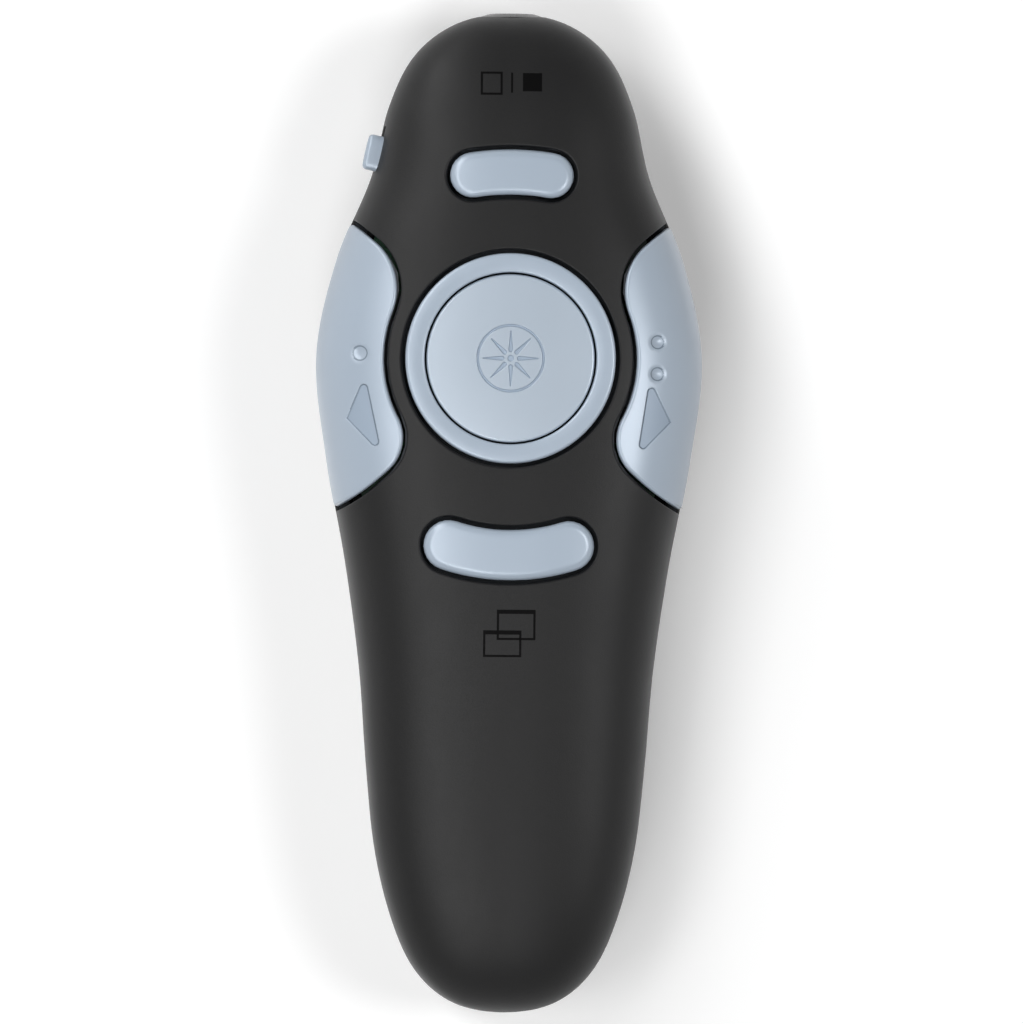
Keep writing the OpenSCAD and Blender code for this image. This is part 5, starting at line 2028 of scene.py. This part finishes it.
@dataclass
class Power:
    """The two cells and their contact springs.

    The rows of a cell's profile are insets from its radius and distances from its shoulder or foot.
    """

    cell_x: float = float(CELL_LOW[0] + CELL_HIGH[0]) / 2
    cell_z: float = float(CELL_LOW[2] + CELL_HIGH[2]) / 2
    cell_r: float = float(CELL_HIGH[0] - CELL_LOW[0]) / 2
    cell_len: float = float(CELL_HIGH[1] - CELL_LOW[1])
    bay_y: tuple[float, float] = (float(packed("bridge_plate")[1][1]),
                                  float(packed("positive_terminal")[0][1]))
    nub_r: float = 1.9
    nub_len: float = 1.0
    nub_round: float = 0.25
    sleeve: float = 0.12
    can_shoulder: Rows = ((1.3, 0.0), (1.1, 0.25), (0.9, 0.0), (0.35, 0.15), (0.0, 0.6))
    can_foot: Rows = ((0.0, 0.5), (0.4, 0.1), (1.0, 0.0))
    sleeve_shoulder: Rows = ((0.67, 0.02), (0.2, 0.25), (0.0, 0.75))
    sleeve_foot: Rows = ((0.0, 0.75), (0.25, 0.15), (0.82, 0.02), (0.82, 0.3), (0.22, 0.8))
    sleeve_back: Rows = ((0.22, 0.9), (0.67, 0.3))
    spring_len: float = 4.0
    spring_slack: float = 0.03
    wire_r: float = 0.35
    spring_r: tuple[float, float] = (3.6, 2.1)
    turns: float = 3.5

    def axis(self, side: int, y: float, back: bool) -> Matrix:
        """Returns an axis along one cell's middle that starts at y and runs ahead or back."""
        turn = Matrix.Rotation(math.pi / 2 if back else -math.pi / 2, 4, "X")
        return Matrix.Translation((side * self.cell_x, y, self.cell_z)) @ turn

    def profile(self, radius: float, shoulder: Rows, foot: Rows = ()) -> list[tuple[float, float]]:
        """Returns (radius, height) rows of a cell, with insets from a radius."""
        rows = [(radius - inset, self.nub_len + rise) for inset, rise in shoulder]
        return rows + [(radius - inset, self.cell_len - rise) for inset, rise in foot]

    def cell(self, name: str, side: int, node: str) -> None:
        """Makes one cell: a sleeve over a metal can.

        Args:
            name: The piece's name.
            side: 1 for the right cell, -1 for the left one.
            node: The node that it stands for.
        """
        axis = self.axis(side, self.bay_y[side > 0], side > 0)
        nub = [(self.nub_r - self.nub_round * (1 - math.cos(a)), self.nub_round * (1 - math.sin(a)))
               for a in np.radians(np.linspace(90, 0, 5))]
        can = [(0.0, self.cell_len), (0.0, 0.0), *nub, (self.nub_r, self.nub_len),
               *self.profile(self.cell_r - self.sleeve, self.can_shoulder, self.can_foot)]
        sleeve = [*self.profile(self.cell_r, self.sleeve_shoulder, self.sleeve_foot),
                  *self.profile(self.cell_r, self.sleeve_back)]
        shape = revolved(np.array(can), 72, axis)
        wrap = revolved(np.array(sleeve), 72, axis)
        wrap.paint = [1] * len(wrap.faces)
        shape.absorb(wrap)
        dress(shape.build(name, NICKEL.material(), SLEEVE.material()), Body.HOUSING, Slot.CELL_WRAP, node)

    def spring(self, name: str, side: int, node: str) -> None:
        """Makes one contact spring.

        Args:
            name: The piece's name.
            side: 1 for the right spring, -1 for the left one.
            node: The node that it stands for.
        """
        axis = self.axis(side, self.bay_y[side < 0], side < 0)
        steps, sides = 150, 10
        shape = Shape()
        rings = []
        turn, place = np.array(axis.to_3x3()), np.array(axis.translation)
        b = np.linspace(0, 2 * math.pi, sides, endpoint=False)
        foot = self.wire_r + self.spring_slack
        rise = self.spring_len - 2 * foot
        for f in np.linspace(0, 1, steps):
            a = 2 * math.pi * self.turns * f
            r = self.spring_r[0] + (self.spring_r[1] - self.spring_r[0]) * f
            flatter = f * f * (3 - 2 * f)
            wide = r + self.wire_r * np.cos(b)
            ring = np.stack([wide * math.cos(a), wide * math.sin(a),
                             foot + rise * flatter + self.wire_r * np.sin(b)], axis=1)
            rings.append(shape.add(ring @ turn.T + place))
        shape.join(rings)
        shape.cap(rings[0])
        shape.cap(rings[-1], False)
        dress(shape.build(name, NICKEL.material()), Body.HOUSING, Slot.NICKEL, node)

    def build(self) -> None:
        """Makes the cells and the springs."""
        self.cell("right_cell", 1, "cell_right")
        self.cell("left_cell", -1, "cell_left")
        self.spring("right_contact_spring", 1, "bridge_spring")
        self.spring("left_contact_spring", -1, "negative_spring")


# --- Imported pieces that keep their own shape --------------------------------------


@dataclass(frozen=True)
class Kept:
    """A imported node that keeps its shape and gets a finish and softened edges."""

    node: str
    finish: Moulded | Metal | ClearPlastic | BoardMask
    bevel: float
    bend: float = 40.0

    def dress(self) -> None:
        """Gives the node its finish."""
        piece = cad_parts[self.node]
        piece.data.materials.clear()
        piece.data.materials.append(self.finish.material())
        if self.bevel:
            bevel = piece.modifiers.new("softened_edges", "BEVEL")
            bevel.width = self.bevel * MM
            bevel.segments = 2
            bevel.limit_method = "ANGLE"
            bevel.angle_limit = math.radians(self.bend)
            bevel.harden_normals = True
        log.info("%s keeps its shape", self.node)


KEPT = [Kept(node, finish, bevel) for finish, bevel, nodes in (
    (WINDOW_RED, 0.0, ("laser_window",)), (BRASS, 0.0, ("laser_barrel",)), (LENS, 0.0, ("laser_lens",)),
    (BoardMask("driver_mask"), 0.0, ("laser_driver_board",)), (BoardMask(), 0.0, ("circuit_board",)),
    (LEAD_RED, 0.0, ("laser_leads",)), (HARD_BLACK, 0.0, ("tact_switch_bodies", "lock_switch_body")),
    (IVORY_PLASTIC, 0.0, ("blank_screen_plunger", "window_plunger", "laser_plunger", "previous_plunger",
                          "next_plunger", "lock_switch_actuator")),
    (CHIP_EPOXY, 0.0, ("controller_chip", "radio_chip")), (CERAMIC, 0.0, ("chip_passives",)),
    (NICKEL, 0.0, ("crystal",)), (NICKEL, 0.08, ("bridge_plate", "positive_terminal", "negative_terminal")),
    (SCREW_STEEL, 0.0, ("board_screws",)), (SCREW_STEEL, 0.12, ("housing_screws",)),
    (SOFT_TOUCH, 0.15, ("receiver_cap",)), (NICKEL, 0.06, ("receiver_plug_shell",)),
    (IVORY_PLASTIC, 0.1, ("receiver_tongue",)), (GOLD, 0.04, ("receiver_contacts",))) for node in nodes]


# --- Studio -----------------------------------------------------------------------


@dataclass(frozen=True)
class Lamp:
    """One round soft lamp that faces the object."""

    name: str
    lean: float
    turn: float
    power: float
    size: float = 0.42
    distance: float = 1.0

    def build(self) -> None:
        """Makes the lamp, leaning from straight up (180 from straight down) towards its turn from +X."""
        light = bpy.data.lights.new(self.name, "AREA")
        light.shape = "DISK"
        light.size = self.size
        light.energy = self.power
        lamp = bpy.data.objects.new(self.name, light)
        bpy.context.scene.collection.objects.link(lamp)
        lean, turn = math.radians(self.lean), math.radians(self.turn)
        way = Vector((math.sin(lean) * math.cos(turn), math.sin(lean) * math.sin(turn), math.cos(lean)))
        lamp.location = way * self.distance
        lamp.rotation_euler = (-way).to_track_quat("-Z", "Y").to_euler()


@dataclass
class Studio:
    """The floor, the lamps and the camera."""

    distance: float = 2.5
    lean: float = 0.94
    nod: float = 0.14
    roll: float = 0.52
    pixel: float = 0.12619
    rows: int = 1024
    sensor: float = 36.0
    target: tuple[float, float, float] = (0.52, 0.15, 12.0)
    floor_half: float = 1.5
    floor_drop: float = 0.05
    floor_tone: float = 0.95
    floor_glow: float = 0.13
    floor_bounce: float = 0.4
    lamps: tuple[Lamp, ...] = (
        Lamp("left_lamp", 30, 200, 2.2), Lamp("left_front_lamp", 30, 150, 1.8),
        Lamp("rear_lamp", 30, 250, 2.7), Lamp("low_left_lamp", 50, 140, 1.8),
        Lamp("flank_lamp", 70, 130, 2.2), Lamp("right_lamp", 40, 0, 3.8),
        Lamp("under_lamp_left", 155, 218, 3.0), Lamp("under_lamp_right", 155, 38, 2.0))
    sky: float = 0.12
    zenith: float = 0.35
    haze: tuple[float, float] = (0.15, 0.5)

    def seen(self, shader: Shader) -> Socket:
        """Tells which rays come from the camera or were passed on by gloss or glass.

        Args:
            shader: The shader that asks.

        Returns:
            1 for those rays, else 0.
        """
        paths = [shader.node("ShaderNodeLightPath", output=f"Is {kind} Ray")
                 for kind in ("Camera", "Glossy", "Transmission")]
        return shader.node("ShaderNodeClamp", inputs={0: paths[0] + paths[1] + paths[2]})

    def world(self) -> None:
        """Makes the white backdrop, which as a light glows from the sides and gloss sees greyer overhead."""
        world = bpy.data.worlds.new("studio_sky")
        bpy.context.scene.world = world
        shader = Shader(world)
        way = shader.node("ShaderNodeTexCoord", output="Generated")
        up = shader.node("ShaderNodeSeparateXYZ", inputs={0: way}, output="Z")
        high = shader.node("ShaderNodeMapRange", {"interpolation_type": "SMOOTHSTEP"},
                           {"Value": up, "From Min": self.haze[0], "From Max": self.haze[1]})
        seen = self.seen(shader)
        camera = shader.node("ShaderNodeLightPath", output="Is Camera Ray")
        low_part = self.sky + (1 - self.sky) * seen
        high_part = self.zenith * seen + (1 - self.zenith) * camera
        strength = (1 - high) * low_part + high * high_part
        background = shader.node("ShaderNodeBackground", inputs={"Color": (1, 1, 1, 1), "Strength": strength})
        shader.node("ShaderNodeOutputWorld", inputs={"Surface": background})

    def floor(self) -> None:
        """Makes the pale floor, which is clear from below and to the light of the lamps under it."""
        shader = Shader.new("studio_floor")
        tone = self.floor_bounce + (self.floor_tone - self.floor_bounce) * self.seen(shader)
        matte = shader.node("ShaderNodeBsdfDiffuse", inputs={"Color": shader.tint((1.0, 1.0, 1.0), tone)})
        glow = shader.node("ShaderNodeEmission", inputs={"Strength": self.floor_glow * self.seen(shader)})
        lit = shader.node("ShaderNodeAddShader", inputs={0: matte, 1: glow})
        clear = shader.node("ShaderNodeBsdfTransparent")
        under = shader.node("ShaderNodeNewGeometry", output="Backfacing")
        shadow = shader.node("ShaderNodeLightPath", output="Is Shadow Ray")
        let_through = shader.node("ShaderNodeClamp", inputs={0: under + shadow})
        shader.show(shader.node("ShaderNodeMixShader", inputs={0: let_through, 1: lit, 2: clear}))
        mesh = bpy.data.meshes.new("floor")
        h, z = self.floor_half, -self.floor_drop * MM
        mesh.from_pydata([(-h, -h, z), (h, -h, z), (h, h, z), (-h, h, z)], [], [(0, 1, 2, 3)])
        mesh.materials.append(shader.owner)
        floor = bpy.data.objects.new("floor", mesh)
        bpy.context.scene.collection.objects.link(floor)

    def camera(self) -> None:
        """Makes the camera, above the keys and leaning a little to the left."""
        data = bpy.data.cameras.new("camera")
        data.sensor_width = self.sensor
        data.lens = self.sensor * self.distance / (self.pixel * self.rows * MM)
        camera = bpy.data.objects.new("camera", data)
        bpy.context.scene.collection.objects.link(camera)
        lean, nod, roll = (math.radians(a) for a in (self.lean, self.nod, self.roll))
        camera.matrix_world = (Matrix.Translation(Vector(self.target) * MM) @ Matrix.Rotation(-lean, 4, "Y")
                               @ Matrix.Rotation(nod, 4, "X") @ Matrix.Rotation(roll, 4, "Z")
                               @ Matrix.Translation((0, 0, self.distance)))
        bpy.context.scene.camera = camera

    def build(self) -> None:
        """Makes the studio."""
        self.camera()
        self.world()
        self.floor()
        for lamp in self.lamps:
            lamp.build()
        bpy.context.scene.view_settings.view_transform = "Standard"


def main() -> None:
    """Builds the studio and every piece."""
    logging.basicConfig(level=logging.INFO, format="%(message)s")
    Studio().build()
    for assembly in (Housing(), BatteryDoor(), SideKeys(), BarKeys(), Dial(), LockSlider(), PrintedMarks(),
                     LaserNose(), Power()):
        assembly.build()
    for kept in KEPT:
        kept.dress()


if __name__ == "__main__":
    main()
